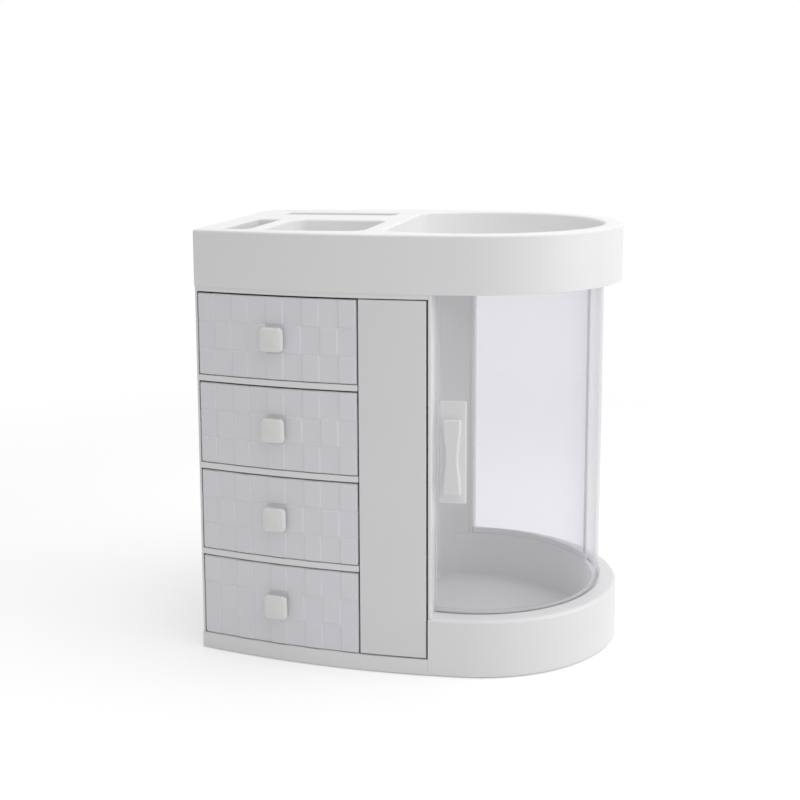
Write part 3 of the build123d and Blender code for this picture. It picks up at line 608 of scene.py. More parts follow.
class Finish:
    """A tree of shader nodes."""

    def __init__(self, tree):
        self.tree = tree
        tree.nodes.clear()

    def node(self, kind, settings=None, inputs=None):
        made = self.tree.nodes.new(kind)
        for name, value in (settings or {}).items():
            setattr(made, name, value)
        for name, value in (inputs or {}).items():
            if isinstance(value, Number):
                self.tree.links.new(value.socket, made.inputs[name])
            elif isinstance(value, bpy.types.NodeSocket):
                self.tree.links.new(value, made.inputs[name])
            else:
                made.inputs[name].default_value = value
        return made

    def number(self, kind, output, settings=None, inputs=None):
        return Number(self, self.node(kind, settings, inputs).outputs[output])

    def noise(self, scale, detail):
        """Noise fixed to the object; scale is in waves per metre."""
        place = self.node("ShaderNodeTexCoord").outputs["Object"]
        inputs = {"Vector": place, "Scale": scale, "Detail": detail}
        return self.number("ShaderNodeTexNoise", "Fac", None, inputs)

    def blend(self, factor, first, second):
        """Mixes two colours."""
        inputs = {0: factor, 6: first, 7: second}
        return self.node("ShaderNodeMix", {"data_type": "RGBA"}, inputs).outputs[2]

    def surface(self, shader):
        self.node("ShaderNodeOutputMaterial", None, {"Surface": shader.outputs[0]})


def new_finish(name):
    material = bpy.data.materials.new(name)
    material.use_nodes = True
    return material, Finish(material.node_tree)


def opaque(value):
    return (*value, 1.0)


def darker(colour, part):
    """A colour with every channel at a part of its strength."""
    return opaque([channel * part for channel in colour])


def moulded(name, base, roughness, grain=0.02, coat=0.0, edge=0.0):
    """Injection-moulded plastic: faint flow marks, a fine grain and an uneven gloss."""
    material, finish = new_finish(name)
    flow = finish.noise(FLOW_SCALE, 3.0)
    fine = finish.noise(GRAIN_SCALE, 2.0)
    inputs = {
        "Base Color": finish.blend(flow, opaque(base), darker(base, FLOW_SHADE)),
        "Roughness": roughness - EVEN_GLOSS + flow * FLOW_GLOSS + fine * GRAIN_GLOSS,
        "IOR": PLASTIC_IOR,
    }
    bump = {"Height": fine, "Strength": grain, "Distance": GRAIN_DEPTH}
    if edge:
        rounded = finish.node("ShaderNodeBevel", {"samples": 4}, {"Radius": edge})
        bump["Normal"] = rounded.outputs["Normal"]
    inputs["Normal"] = finish.node("ShaderNodeBump", None, bump).outputs["Normal"]
    if coat:
        inputs["Coat Weight"] = coat
        inputs["Coat Roughness"] = COAT_ROUGHNESS
    finish.surface(finish.node("ShaderNodeBsdfPrincipled", None, inputs))
    return material


def clear_sheet(name, tint, gloss, veil, edge_on=0.85):
    """Clear polished plastic sheet: the view passes through, and the surface shows edge on."""
    material, finish = new_finish(name)
    ripple = finish.noise(RIPPLE_SCALE, 1.0)
    facing = finish.number("ShaderNodeLayerWeight", "Facing", None, {"Blend": 0.5})
    shown = veil + facing ** EDGE_ON_POWER * edge_on + ripple * RIPPLE_SHOWN
    inputs = {
        "Base Color": opaque(gloss),
        "Roughness": POLISHED_ROUGHNESS + ripple * RIPPLE_GLOSS,
        "IOR": PLASTIC_IOR,
    }
    polished = finish.node("ShaderNodeBsdfPrincipled", None, inputs)
    through = finish.node("ShaderNodeBsdfTransparent", None, {"Color": opaque(tint)})
    inputs = {0: shown, 1: through.outputs[0], 2: polished.outputs[0]}
    finish.surface(finish.node("ShaderNodeMixShader", None, inputs))
    return material


def plated_steel(name, base):
    """Plated steel of the screws."""
    material, finish = new_finish(name)
    cloud = finish.noise(ZINC_SCALE, 4.0)
    inputs = {
        "Base Color": finish.blend(cloud, opaque(base), darker(base, ZINC_SHADE)),
        "Metallic": 1.0,
        "Roughness": STEEL_ROUGHNESS + cloud * STEEL_GLOSS,
    }
    finish.surface(finish.node("ShaderNodeBsdfPrincipled", None, inputs))
    return material


def soft_rubber(name, base):
    """Matt rubber with a fine grain."""
    material, finish = new_finish(name)
    grain = finish.noise(RUBBER_SCALE, 3.0)
    inputs = {"Height": grain, "Strength": RUBBER_BUMP, "Distance": RUBBER_DEPTH}
    bump = finish.node("ShaderNodeBump", None, inputs)
    inputs = {
        "Base Color": finish.blend(grain, opaque(base), darker(base, RUBBER_DUST)),
        "Roughness": RUBBER_ROUGHNESS + grain * RUBBER_GLOSS,
        "Normal": bump.outputs["Normal"],
    }
    finish.surface(finish.node("ShaderNodeBsdfPrincipled", None, inputs))
    return material


SLOTS = {
    "body": "body_plastic",
    "rack": "rack_plastic",
    "front": "drawer_front_plastic",
    "box": "drawer_box_plastic",
    "knob": "knob_plastic",
    "handle": "handle_plastic",
    "clear": "clear_plastic",
    "screen": "clear_plastic",
    "rim": "clear_plastic",
    "steel": "screw_steel",
    "rubber": "foot_rubber",
}


def finished(kind, carried=False):
    """The material of one finish, made on first use.

    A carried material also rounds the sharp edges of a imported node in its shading."""
    name = kind + ("_carried" if carried else "_finish")
    if name in bpy.data.materials:
        return bpy.data.materials[name]
    finish = bpy.context.scene.vanity_finish
    edge = CARRIED_EDGE if carried else 0.0
    if kind == "clear":
        return clear_sheet(name, finish.clear, finish.gloss, finish.veil)
    if kind == "screen":
        return clear_sheet(name, finish.screen, finish.gloss, finish.veil)
    if kind == "rim":
        return clear_sheet(name, finish.clear, finish.rim, finish.rim_veil, edge_on=0.2)
    if kind == "steel":
        return plated_steel(name, finish.steel)
    if kind == "rubber":
        return soft_rubber(name, finish.rubber)
    if kind == "box":
        return moulded(name, finish.box, finish.roughness + 0.12, grain=0.05, edge=edge)
    if kind == "knob":
        return moulded(name, finish.knob, finish.roughness - 0.06, coat=0.15, edge=edge)
    if kind == "front":
        return moulded(name, finish.front, finish.roughness + 0.04, grain=0.03, edge=edge)
    base = {"body": finish.body, "rack": finish.rack, "handle": finish.handle}[kind]
    return moulded(name, base, finish.roughness, edge=edge)


# ---- pieces ----
class VanityOperator:
    """What all the operators share."""

    bl_options = {"REGISTER", "UNDO"}


class VANITY_OT_carried(VanityOperator, bpy.types.Operator):
    """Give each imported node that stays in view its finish"""

    bl_idname = "vanity.carried"
    bl_label = "Carried parts"

    def execute(self, context):
        kinds = {}
        for kind, slot in SLOTS.items():
            kinds.setdefault(slot, kind)
        for row in frame["record"]["subparts"]:
            data = NODES[row["node"]].data
            data.materials.clear()
            data.materials.append(finished(kinds[row["material_slot"]], carried=True))
        return {"FINISHED"}


class VANITY_OT_top_tray(VanityOperator, bpy.types.Operator):
    """Build the top tray with its four wells and the upper door track"""

    bl_idname = "vanity.top_tray"
    bl_label = "Top tray"

    def execute(self, context):
        shape = context.scene.vanity_shape
        low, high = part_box("top_tray")
        outline = Plan(shape).whole(0.0)
        wells = [
            rounded_rectangle(shape.small_well, shape.small_corner),
            rounded_rectangle(shape.middle_well, shape.middle_corner),
            rounded_rectangle(shape.long_slot, shape.slot_corner),
            cut_circle(shape.round_well_radius, shape.round_well_left, shape.round_corner),
        ]
        tray = Moulding()
        skirt_top = high.z - shape.skirt
        inner = offset(outline, shape.skirt)
        sides = [tray.ring(inner, skirt_top), tray.ring(inner, low.z)]
        for inset, height in edge_steps(low.z, high.z, shape.soft_edge, shape.tray_edge):
            sides.append(tray.ring(offset(outline, inset), height))
        tray.skin(sides)
        rims = []
        sockets = []
        for hole in wells:
            rims.append(self.well(tray, hole, shape, high.z))
            sockets.append(self.underside(tray, hole, shape, skirt_top))
        tray.holed_cap([sides[-1]] + rims)
        tray.holed_cap([sides[0]] + sockets)
        self.track_ribs(tray, shape, low.z)
        dress(tray, "tray_moulding", "top_tray", "body")
        return {"FINISHED"}

    def well(self, tray, hole, shape, top):
        """Rim, wall and floor of one well; gives back the ring of its rim."""
        rings = []
        for inset, height in edge_steps(shape.well_floor, top, shape.well_foot, shape.tray_edge):
            outward = height > (shape.well_floor + top) / 2
            rings.append(tray.ring(offset(hole, -inset if outward else inset), height))
        tray.skin(rings)
        tray.cap(rings[0])
        return rings[-1]

    def underside(self, tray, hole, shape, top):
        """The well's outer wall under the deck; gives back its upper ring."""
        outside = offset(hole, -shape.well_wall)
        rings = [tray.ring(outside, shape.well_floor - shape.well_wall), tray.ring(outside, top)]
        tray.skin(rings)
        tray.cap(rings[0])
        return rings[1]

    def track_ribs(self, tray, shape, low):
        """Two ribs under the round well that guide the door and hold the back screen."""
        pillar_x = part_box("front_pillar")[1].x
        screen_r = shape.pocket_radius + shape.screen_setback - SEAT_GAP
        track_r = door_radius() + shape.track_clearance
        ribs = ((screen_r - shape.track_rib, screen_r), (track_r, track_r + shape.track_rib))
        for r_in, r_out in ribs:
            reach = math.acos((pillar_x - AXIS_X) / r_out)
            rib = sector(r_in, r_out, -reach, reach, shape.soft_edge)
            top = shape.well_floor - shape.well_wall / 2
            tray.curved_slab(rib, low + RIB_LIFT, top, shape.soft_edge)


def door_radius():
    """Outer radius of the door sheet: its lowest Y lies straight in front of the axis."""
    return AXIS_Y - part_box("door_panel")[0].y


class VANITY_OT_round_base(VanityOperator, bpy.types.Operator):
    """Build the base ring with the door's track and the sunken pocket"""

    bl_idname = "vanity.round_base"
    bl_label = "Round base"
    STEPS = 120

    def execute(self, context):
        shape = context.scene.vanity_shape
        low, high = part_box("round_base")
        self.cut_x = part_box("front_pillar")[0].x
        self.plan = Plan(shape)
        base = Moulding()
        self.ring(base, shape, low.z, high.z)
        self.end_walls(base, shape, low.z, high.z)
        dress(base, "base_ring_moulding", "round_base", "body")
        self.pocket(shape, high.z)
        return {"FINISHED"}

    def outline_row(self, inset, height):
        """Points along the outline, moved in by inset, right of the cut."""
        x = self.cut_x - AXIS_X
        turn = math.atan2(self.plan.depth(self.cut_x, inset), x)
        points = []
        for k in range(self.STEPS + 1):
            at = -turn + 2 * turn * k / self.STEPS
            reach = self.plan.ray(at, inset)
            points.append((AXIS_X + reach * math.cos(at), AXIS_Y + reach * math.sin(at), height))
        return points

    def circle_row(self, radius, height):
        turn = math.acos((self.cut_x - AXIS_X) / radius)
        circle = arc((AXIS_X, AXIS_Y), radius, -turn, turn, self.STEPS)
        return [(x, y, height) for x, y in circle]

    def track(self, shape):
        """Inner and outer radius of the door's track."""
        door_out = door_radius()
        return door_out - shape.door_sheet - shape.track_clearance, door_out + shape.track_clearance

    def ring(self, base, shape, low, high):
        track_in, track_out = self.track(shape)
        pan_out = shape.pocket_radius + shape.pocket_wall
        groove = high - shape.track_depth
        rows = [self.outline_row(shape.skirt, low)]
        for inset, height in edge_steps(low, high, shape.soft_edge, shape.ring_edge, steps=6):
            rows.append(self.outline_row(inset, height))
        rows += [
            self.circle_row(track_out, high),
            self.circle_row(track_out, groove),
            self.circle_row(track_in, groove),
            self.circle_row(track_in, high),
            self.circle_row(pan_out, high),
            self.circle_row(pan_out, high - shape.ledge),
            self.circle_row(pan_out + shape.ledge_reach, high - shape.ledge),
            self.circle_row(pan_out + shape.ledge_reach, high - shape.skirt),
            self.outline_row(shape.skirt, high - shape.skirt),
        ]
        rows = [base.points(row) for row in rows]
        rows.append(rows[0])
        base.skin(rows, closed=False)
        base.cap([row[0] for row in rows[:-1]])
        base.cap([row[-1] for row in rows[:-1]])

    def end_walls(self, base, shape, low, high):
        """Closes the ring's two hollow ends and the ends of the door's track."""
        left = self.cut_x + SEAT_GAP
        right = self.cut_x + shape.skirt
        stop_x = self.cut_x + shape.wall
        track_in, track_out = self.track(shape)
        inner = shape.pocket_radius + shape.pocket_wall
        near = math.sqrt(inner ** 2 - (self.cut_x - AXIS_X) ** 2)
        far = self.plan.depth(self.cut_x, shape.soft_edge)
        for side in (-1, 1):
            wall = [(left, near), (right, near), (right, far), (left, far)]
            wall = [(x, AXIS_Y + side * y) for x, y in wall]
            base.slab(anticlockwise(wall), low + shape.soft_edge, high - shape.ring_edge)
            stop = []
            for x, radius in (
                (left, track_out), (stop_x, track_out), (stop_x, track_in), (left, track_in)
            ):
                stop.append((x, AXIS_Y + side * math.sqrt(radius ** 2 - (x - AXIS_X) ** 2)))
            base.slab(anticlockwise(stop), high - shape.track_depth, high - SEAT_GAP)

    def pocket(self, shape, high):
        """Sunken round pocket cut off straight beside the rack."""
        floor = shape.pocket_floor
        wall = shape.pocket_wall
        corner = shape.pocket_corner
        inner = cut_circle(shape.pocket_radius, shape.pocket_flat, corner)
        outer = cut_circle(shape.pocket_radius + wall, shape.pocket_flat - wall, corner + wall)
        pocket = Moulding()
        rings = [pocket.ring(outer, floor - wall), pocket.ring(outer, high)]
        for inset, height in reversed(edge_steps(floor, high, corner, shape.soft_edge)):
            outward = height > (floor + high) / 2
            rings.append(pocket.ring(offset(inner, -inset if outward else inset), height))
        pocket.skin(rings)
        pocket.cap(rings[0])
        pocket.cap(rings[-1])
        dress(pocket, "pocket_moulding", ("pocket_wall", "pocket_floor"), "body")


class VANITY_OT_walls(VanityOperator, bpy.types.Operator):
    """Build the side, the back, the two pillars and the wall round the compartment"""

    bl_idname = "vanity.walls"
    bl_label = "Cabinet walls"
    BACK_STEPS = 36
    WALL_STEPS = 12

    def execute(self, context):
        shape = context.scene.vanity_shape
        plan = Plan(shape)
        outer, inner = shape.body_inset, shape.body_inset + shape.wall
        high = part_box("left_side_panel")[1]
        seam = high.y
        side = [(CAD_LOW.x + outer, seam)] + plan.left_and_bow(high.x, outer, -1)
        self.upright("left_side_panel", "side_moulding", side + [(high.x, seam)], shape)
        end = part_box("back_panel")[1].x
        back = []
        for inset in (outer, inner):
            path = plan.left_and_bow(end, inset, 1, self.BACK_STEPS)
            back.append([(CAD_LOW.x + inset, seam)] + path)
        self.strip("back_panel", "back_moulding", back[0] + back[1][::-1], shape)
        for node, name, side in (
            ("front_pillar", "front_pillar_moulding", -1),
            ("back_pillar", "back_pillar_moulding", 1),
        ):
            self.upright(node, name, self.pillar(plan, shape, node, side), shape)
        self.strip("compartment_wall", "compartment_moulding", self.screen_wall(shape), shape)
        return {"FINISHED"}

    def upright(self, node, name, outline, shape):
        low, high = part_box(node)
        wall = Moulding()
        outline = soften(anticlockwise(outline), shape.soft_edge)
        wall.slab(outline, low.z, high.z, shape.soft_edge / 2, shape.soft_edge / 2)
        dress(wall, name, node, "body")

    def strip(self, node, name, outline, shape):
        """A wall whose outline runs out along one face and back along the other."""
        low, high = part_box(node)
        wall = Moulding()
        wall.curved_slab(outline, low.z, high.z, shape.soft_edge / 2, shape.soft_edge / 2)
        dress(wall, name, node, "body")

    def pillar(self, plan, shape, node, side):
        low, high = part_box(node)
        outer = plan.bow(low.x, high.x, shape.body_inset, side)
        inner = []
        for x in (high.x, low.x):
            reach = math.sqrt(shape.pocket_radius ** 2 - (x - AXIS_X) ** 2)
            inner.append((x, AXIS_Y + side * reach))
        return outer + inner

    def screen_wall(self, shape):
        """The compartment's wall left of the pillars."""
        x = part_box("front_pillar")[0].x - AXIS_X
        centre = (AXIS_X, AXIS_Y)
        paths = []
        for outward in (shape.pocket_wall, 0.0):
            radius = shape.pocket_radius + outward
            near, far = math.acos(x / radius), math.acos((shape.pocket_flat - outward) / radius)
            back = arc(centre, radius, near, far, self.WALL_STEPS)
            paths.append(back + arc(centre, radius, -far, -near, self.WALL_STEPS))
        return paths[0] + paths[1][::-1]


def bowed_plate(plan, low, high, inset, thickness):
    """Closed outline of a front plate between two upright edges."""
    front = plan.bow(low.x, high.x, inset, -1)
    back = plan.bow(low.x, high.x, inset + thickness, -1)
    return front + back[::-1]


class VANITY_OT_drawer_fronts(VanityOperator, bpy.types.Operator):
    """Build the four drawer fronts with their low checker relief"""

    bl_idname = "vanity.drawer_fronts"
    bl_label = "Drawer fronts"
    SLOPE_STEPS = 6
    CELL_COLUMNS = 3
    CELL_ROOT = 0.0003

    def execute(self, context):
        shape = context.scene.vanity_shape
        plan = Plan(shape)
        face = shape.body_inset + shape.relief_depth
        for number in range(1, DRAWERS + 1):
            node = f"drawer_{number}_front"
            low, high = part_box(node)
            front = Moulding()
            outline = bowed_plate(plan, low, high, face, shape.front_thickness)
            outline = soften(outline, shape.front_edge)
            front.curved_slab(outline, low.z, high.z, shape.front_edge, shape.front_edge)
            self.relief(front, plan, shape, low, high)
            dress(front, f"drawer_front_moulding_{number}", node, "front")
        return {"FINISHED"}

    def relief(self, front, plan, shape, low, high):
        """Raised cells, alternate ones in each row."""
        face = shape.body_inset + shape.relief_depth
        cell_w = (high.x - low.x) / shape.relief_columns
        cell_h = (high.z - low.z) / shape.relief_rows
        right = right_of_rectangle(
            cell_w - shape.relief_gap, cell_h - shape.relief_gap, shape.relief_corner
        )
        profile = [(0.0, -self.CELL_ROOT)]
        for k in range(self.SLOPE_STEPS + 1):
            turn = math.pi / 2 * k / self.SLOPE_STEPS
            inset = shape.relief_slope * (1 - math.cos(turn))
            profile.append((inset, shape.relief_depth * math.sin(turn)))
        for row in range(shape.relief_rows):
            for column in range(row % 2, shape.relief_columns, 2):
                x = low.x + (column + 0.5) * cell_w
                z = low.z + (row + 0.5) * cell_h

                def place(across, up, out, x=x, z=z):
                    at = x + across
                    return (at, AXIS_Y - plan.depth(at, face - out), z + up)

                front.pad(right, self.CELL_COLUMNS, profile, place)


def right_of_rectangle(width, height, corner, steps=4):
    """Right edge of a rounded rectangle, from bottom to top."""
    across, up = width / 2 - corner, height / 2 - corner
    low = arc((across, -up), corner, -math.pi / 2, 0, steps)
    return low + arc((across, up), corner, 0, math.pi / 2, steps)


class VANITY_OT_knobs(VanityOperator, bpy.types.Operator):
    """Build the crowned square knobs"""

    bl_idname = "vanity.knobs"
    bl_label = "Drawer knobs"
    CORNER_STEPS = 10
    EDGE_STEPS = 8
    CROWN_STEPS = 12
    STEM_STEPS = 12
    STEM_SIDES = 32
    STEM_FLARE = 0.0008
    FLARED_PART = 1 / 6
    STEM_SEAT = 0.00005

    def execute(self, context):
        shape = context.scene.vanity_shape
        plan = Plan(shape)
        face = shape.body_inset + shape.relief_depth
        for number in range(1, DRAWERS + 1):
            node = f"drawer_{number}_knob"
            low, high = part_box(f"drawer_{number}_front")
            x, z = (low.x + high.x) / 2, (low.z + high.z) / 2
            tilt = math.asin((x - plan.bow_x) / (shape.bow_radius - face))
            seat = Matrix.Translation((x, AXIS_Y - plan.depth(x, face), z))
            seat = seat @ Matrix.Rotation(tilt, 4, "Z") @ Matrix.Rotation(math.pi / 2, 4, "X")
            knob = Moulding()
            self.cap(knob, shape, seat)
            self.stem(knob, shape, seat)
            dress(knob, f"knob_moulding_{number}", (node, node + "_stem"), "knob")
        return {"FINISHED"}

    def cap(self, knob, shape, seat):
        half = shape.knob_width / 2
        square = [(-half, -half), (half, -half), (half, half), (-half, half)]
        outline = soften(square, shape.knob_corner, steps=self.CORNER_STEPS)
        back = shape.knob_stem
        front = back + shape.knob_cap
        edge = shape.knob_edge

        def crowned(x, y, drop):
            return (x, y, front - (x * x + y * y) / shape.knob_crown / 2 - drop)

        rings = []
        for inset, out in edge_steps(back, back + edge, edge / 2, 0.0):
            rings.append([(x, y, out) for x, y in offset(outline, inset)])
        for k in range(self.EDGE_STEPS + 1):
            turn = math.pi / 2 * k / self.EDGE_STEPS
            rim = offset(outline, edge * (1 - math.cos(turn)))
            rings.append([crowned(x, y, edge * (1 - math.sin(turn))) for x, y in rim])
        for k in range(1, self.CROWN_STEPS):
            inwards = 1 - k / self.CROWN_STEPS
            rings.append([crowned(x * inwards, y * inwards, 0.0) for x, y in rim])
        rings = [knob.points([seat @ Vector(place) for place in ring]) for ring in rings]
        knob.skin(rings)
        knob.cap(rings[0])
        knob.cap(rings[-1])

    def stem(self, knob, shape, seat):
        """Round stem that flares a little where it meets the drawer front and the cap."""
        rings = []
        for k in range(self.STEM_STEPS + 1):
            up = k / self.STEM_STEPS
            ends = max(0.0, 1 - min(up, 1 - up) / self.FLARED_PART)
            radius = shape.knob_stem_radius + self.STEM_FLARE * ends * ends
            height = self.STEM_SEAT + up * shape.knob_stem
            circle = arc((0, 0), radius, 0, 2 * math.pi, self.STEM_SIDES)[:-1]
            rings.append([(x, y, height) for x, y in circle])
        rings = [knob.points([seat @ Vector(place) for place in ring]) for ring in rings]
        knob.skin(rings)
        knob.cap(rings[0])
        knob.cap(rings[-1])


class VANITY_OT_rack_front(VanityOperator, bpy.types.Operator):
    """Build the tall plain front of the pull-out rack"""

    bl_idname = "vanity.rack_front"
    bl_label = "Rack front"

    def execute(self, context):
        shape = context.scene.vanity_shape
        low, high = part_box("rack_front")
        outline = bowed_plate(Plan(shape), low, high, shape.body_inset, shape.front_thickness)
        front = Moulding()
        outline = soften(outline, shape.front_edge)
        front.curved_slab(outline, low.z, high.z, shape.front_edge, shape.front_edge)
        dress(front, "rack_front_moulding", "rack_front", "rack")
        return {"FINISHED"}


class VANITY_OT_clear_sheets(VanityOperator, bpy.types.Operator):
    """Build the turning door sheet with its foot bead and the fixed back screen with its rail"""

    bl_idname = "vanity.clear_sheets"
    bl_label = "Door and screen"
    END_TILT = 0.5
    STEPS = 72

    def execute(self, context):
        shape = context.scene.vanity_shape
        pillar_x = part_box("front_pillar")[1].x - AXIS_X
        r_out = door_radius()
        r_in = r_out - shape.door_sheet
        start = -math.pi / 2 - math.asin((-pillar_x - shape.door_gap) / r_out)
        end = start + shape.door_span
        edge = shape.sheet_edge
        self.curved("door_panel", "door_sheet", (r_in, r_out), start, end, edge, "clear")
        radii = (r_out, r_out + shape.door_bead)
        self.curved("door_bottom_rail", "door_foot_bead", radii, start, end, edge / 2, "clear")
        r_in = shape.pocket_radius + shape.screen_setback
        rail_in, rail_out = r_in - shape.rail_lip, r_in + shape.screen_sheet + shape.rail_lip
        start, end = shape.screen_start, math.pi / 2 + math.asin(-pillar_x / rail_out)
        radii = (r_in, r_in + shape.screen_sheet)
        self.curved("back_screen", "back_screen_sheet", radii, start, end, edge, "screen")
        radii = (rail_in, rail_out)
        self.curved("back_screen_rail", "back_screen_foot", radii, start, end, edge, "body")
        return {"FINISHED"}

    def curved(self, node, name, radii, start, end, edge, finish):
        low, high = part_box(node)
        sheet = Moulding()
        outline = sector(*radii, start, end, edge, steps=self.STEPS)
        sheet.curved_slab(outline, low.z, high.z, edge, edge)
        made = dress(sheet, name, node, finish)
        if finish != "body":
            made.data.materials.append(finished("rim"))
            for face in made.data.polygons:
                away = Vector((face.center.x - AXIS_X, face.center.y - AXIS_Y, 0.0)).normalized()
                if abs(face.normal.cross(away).z) > self.END_TILT:
                    face.material_index = 1


class VANITY_OT_door_handle(VanityOperator, bpy.types.Operator):
    """Build the door's curved handle plate and its waisted grip"""

    bl_idname = "vanity.door_handle"
    bl_label = "Door handle"
    PLATE_COLUMNS = 10
    GRIP_COLUMNS = 8
    GRIP_ROWS = 28

    def execute(self, context):
        shape = context.scene.vanity_shape
        r_out = door_radius()
        low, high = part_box("door_handle_plate")
        plate_r = AXIS_Y - low.y
        self.middle = (low.z + high.z) / 2
        width = 2 * r_out * math.asin((high.x - low.x) / 2 / plate_r)
        right = right_of_rectangle(width, high.z - low.z, shape.plate_corner)
        profile = edge_steps(0.0, plate_r - r_out, 0.0, shape.plate_edge)
        plate = Moulding()
        plate.pad(right, self.PLATE_COLUMNS, profile, self.on_door(r_out))
        dress(plate, "handle_plate_moulding", "door_handle_plate", "handle")
        low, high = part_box("door_handle_grip")
        self.middle = (low.z + high.z) / 2
        right = self.waisted(high.x - low.x, high.z - low.z, shape)
        profile = edge_steps(-SEAT_GAP, AXIS_Y - low.y - plate_r, 0.0, shape.grip_edge, steps=6)
        grip = Moulding()
        grip.pad(right, self.GRIP_COLUMNS, profile, self.on_door(plate_r))
        dress(grip, "handle_grip_moulding", "door_handle_grip", "handle")
        return {"FINISHED"}

    def on_door(self, radius):
        """Maps a flat place to the door's outer face, straight in front of its axis."""

        def place(across, up, out):
            turn = across / radius
            reach = radius + out
            x, y = AXIS_X + reach * math.sin(turn), AXIS_Y - reach * math.cos(turn)
            return (x, y, self.middle + up)

        return place

    def waisted(self, width, height, shape):
        """Right edge of the grip: rounded ends and a narrow waist."""
        corner = shape.grip_corner
        across, up = width / 2 - corner, height / 2 - corner
        edge = arc((across, -up), corner, -math.pi / 2, 0, 4)
        for k in range(1, self.GRIP_ROWS):
            z = -up + 2 * up * k / self.GRIP_ROWS
            bulge = (1 - math.cos(math.pi * abs(z) / up)) / 2
            edge.append((shape.grip_waist / 2 + (width - shape.grip_waist) / 2 * bulge, z))
        return edge + arc((across, up), corner, 0, math.pi / 2, 4)


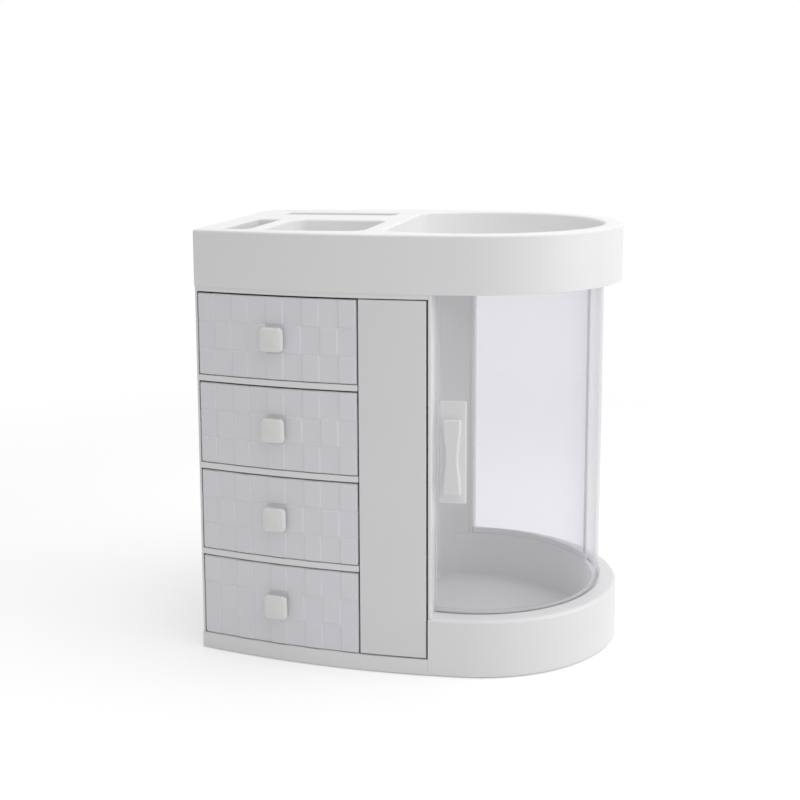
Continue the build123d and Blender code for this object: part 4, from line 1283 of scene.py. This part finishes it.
# ---- studio ----
class VANITY_OT_studio(VanityOperator, bpy.types.Operator):
    """Set the floor, the lamps, the world and the camera"""

    bl_idname = "vanity.studio"
    bl_label = "Studio"
    # name, width and place of each lamp
    LAMPS = (
        ("top", 1.3, (0.15, 0.15, 1.5)),
        ("front", 1.0, (0.7, -0.9, 1.3)),
        ("side", 1.0, (1.4, -0.1, 0.7)),
    )
    AIM = (0.0, 0.0, 0.17)
    FLOOR_HALF = 8.0
    FLOOR_SHADE = 0.985
    FADE_START = 0.35
    FADE_END = 1.1
    NEAR_GLOW = 0.28
    WHITE = (1.0, 1.0, 1.0, 1.0)
    SENSOR = 36.0
    FARTHEST = 50.0

    def execute(self, context):
        studio = context.scene.vanity_studio
        self.floor(studio)
        self.world(context.scene, studio)
        for name, size, place in self.LAMPS:
            self.lamp(name + "_lamp", getattr(studio, name + "_power"), size, place)
        self.camera(context.scene, studio)
        context.scene.view_settings.view_transform = "Standard"
        return {"FINISHED"}

    def pale_to_view(self, finish):
        """1 for what the camera sees straight, in a gloss or through a clear sheet."""
        path = finish.node("ShaderNodeLightPath").outputs
        seen = Number(finish, path["Is Camera Ray"]) + Number(finish, path["Is Glossy Ray"])
        seen = seen + Number(finish, path["Is Transmission Ray"])
        return seen.maths("MINIMUM", seen, 1.0)

    def floor(self, studio):
        half = self.FLOOR_HALF
        ground = bmesh.new()
        corners = ((-half, -half), (half, -half), (half, half), (-half, half))
        ground.faces.new([ground.verts.new((x, y, CAD_LOW.z)) for x, y in corners])
        data = bpy.data.meshes.new("studio_floor")
        ground.to_mesh(data)
        ground.free()
        material, finish = new_finish("studio_floor")
        shade = darker(studio.floor, self.FLOOR_SHADE)
        tone = finish.blend(finish.noise(2.0, 2.0), opaque(studio.floor), shade)
        matt = finish.node("ShaderNodeBsdfDiffuse", None, {"Color": tone}).outputs[0]
        glow = {"Color": self.WHITE, "Strength": self.NEAR_GLOW}
        glow = finish.node("ShaderNodeEmission", None, glow).outputs[0]
        lit = finish.node("ShaderNodeAddShader", None, {0: matt, 1: glow}).outputs[0]
        seen = self.pale_to_view(finish)
        near = finish.node("ShaderNodeMixShader", None, {0: seen, 1: matt, 2: lit}).outputs[0]
        place = finish.node("ShaderNodeTexCoord").outputs["Object"]
        away = finish.node("ShaderNodeVectorMath", {"operation": "LENGTH"}, {0: place})
        smooth = {"interpolation_type": "SMOOTHSTEP"}
        away = away.outputs["Value"]
        reach = {"Value": away, "From Min": self.FADE_START, "From Max": self.FADE_END}
        fade = finish.number("ShaderNodeMapRange", "Result", smooth, reach)
        white = finish.node("ShaderNodeEmission", None, {"Color": self.WHITE, "Strength": 1.0})
        inputs = {0: fade * seen, 1: near, 2: white.outputs[0]}
        finish.surface(finish.node("ShaderNodeMixShader", None, inputs))
        data.materials.append(material)
        ground = bpy.data.objects.new("studio_floor", data)
        bpy.context.scene.collection.objects.link(ground)

    def world(self, scene, studio):
        world = bpy.data.worlds.new("studio_world")
        world.use_nodes = True
        finish = Finish(world.node_tree)
        light = {"Color": self.WHITE, "Strength": studio.sky}
        backdrop = {"Color": self.WHITE, "Strength": 1.0}
        light = finish.node("ShaderNodeBackground", None, light).outputs[0]
        backdrop = finish.node("ShaderNodeBackground", None, backdrop).outputs[0]
        inputs = {0: self.pale_to_view(finish), 1: light, 2: backdrop}
        both = finish.node("ShaderNodeMixShader", None, inputs)
        finish.node("ShaderNodeOutputWorld", None, {"Surface": both.outputs[0]})
        scene.world = world

    def lamp(self, name, power, size, place):
        data = bpy.data.lights.new(name, "AREA")
        data.energy = power
        data.size = size
        lamp = bpy.data.objects.new(name, data)
        lamp.location = place
        aim = Vector(self.AIM) - Vector(place)
        lamp.rotation_euler = aim.to_track_quat("-Z", "Y").to_euler()
        bpy.context.scene.collection.objects.link(lamp)

    def camera(self, scene, studio):
        data = bpy.data.cameras.new("photo_camera")
        data.lens = studio.lens
        data.sensor_width = self.SENSOR
        data.shift_x, data.shift_y = studio.shift
        data.clip_end = self.FARTHEST
        camera = bpy.data.objects.new("photo_camera", data)
        forward = Vector((math.sin(studio.yaw), math.cos(studio.yaw), 0.0))
        ahead = forward * math.cos(studio.pitch) - Vector((0.0, 0.0, math.sin(studio.pitch)))
        right = Vector((math.cos(studio.yaw), -math.sin(studio.yaw), 0.0))
        up = right.cross(ahead)
        across = right * math.cos(studio.roll) + up * math.sin(studio.roll)
        above = up * math.cos(studio.roll) - right * math.sin(studio.roll)
        turn = Matrix((across, above, -ahead)).transposed()
        camera.rotation_euler = turn.to_euler()
        camera.location = Vector((AXIS_X, AXIS_Y, 0.0)) + Vector(studio.camera_place)
        scene.collection.objects.link(camera)
        scene.camera = camera


class VANITY_PT_panel(bpy.types.Panel):
    """Lists the steps and what can be set"""

    bl_idname = "VANITY_PT_panel"
    bl_label = "Vanity cabinet"
    bl_space_type = "VIEW_3D"
    bl_region_type = "UI"
    bl_category = "Vanity"

    def draw(self, context):
        layout = self.layout
        for step in STEPS:
            layout.operator(step.bl_idname)
        for group in (context.scene.vanity_finish, context.scene.vanity_studio):
            for name in group.bl_rna.properties.keys():
                if name not in ("rna_type", "name"):
                    layout.prop(group, name)


STEPS = (
    VANITY_OT_carried,
    VANITY_OT_round_base,
    VANITY_OT_walls,
    VANITY_OT_top_tray,
    VANITY_OT_drawer_fronts,
    VANITY_OT_knobs,
    VANITY_OT_rack_front,
    VANITY_OT_clear_sheets,
    VANITY_OT_door_handle,
    VANITY_OT_studio,
)
GROUPS = (VanityShape, VanityFinish, VanityStudio)


def register():
    for cls in GROUPS + STEPS + (VANITY_PT_panel,):
        bpy.utils.register_class(cls)
    bpy.types.Scene.vanity_shape = bpy.props.PointerProperty(type=VanityShape)
    bpy.types.Scene.vanity_finish = bpy.props.PointerProperty(type=VanityFinish)
    bpy.types.Scene.vanity_studio = bpy.props.PointerProperty(type=VanityStudio)


def unregister():
    del bpy.types.Scene.vanity_studio
    del bpy.types.Scene.vanity_finish
    del bpy.types.Scene.vanity_shape
    for cls in (VANITY_PT_panel,) + STEPS[::-1] + GROUPS[::-1]:
        bpy.utils.unregister_class(cls)


def main():
    register()
    for step in STEPS:
        area, name = step.bl_idname.split(".")
        getattr(getattr(bpy.ops, area), name)()


if __name__ == "__main__":
    main()
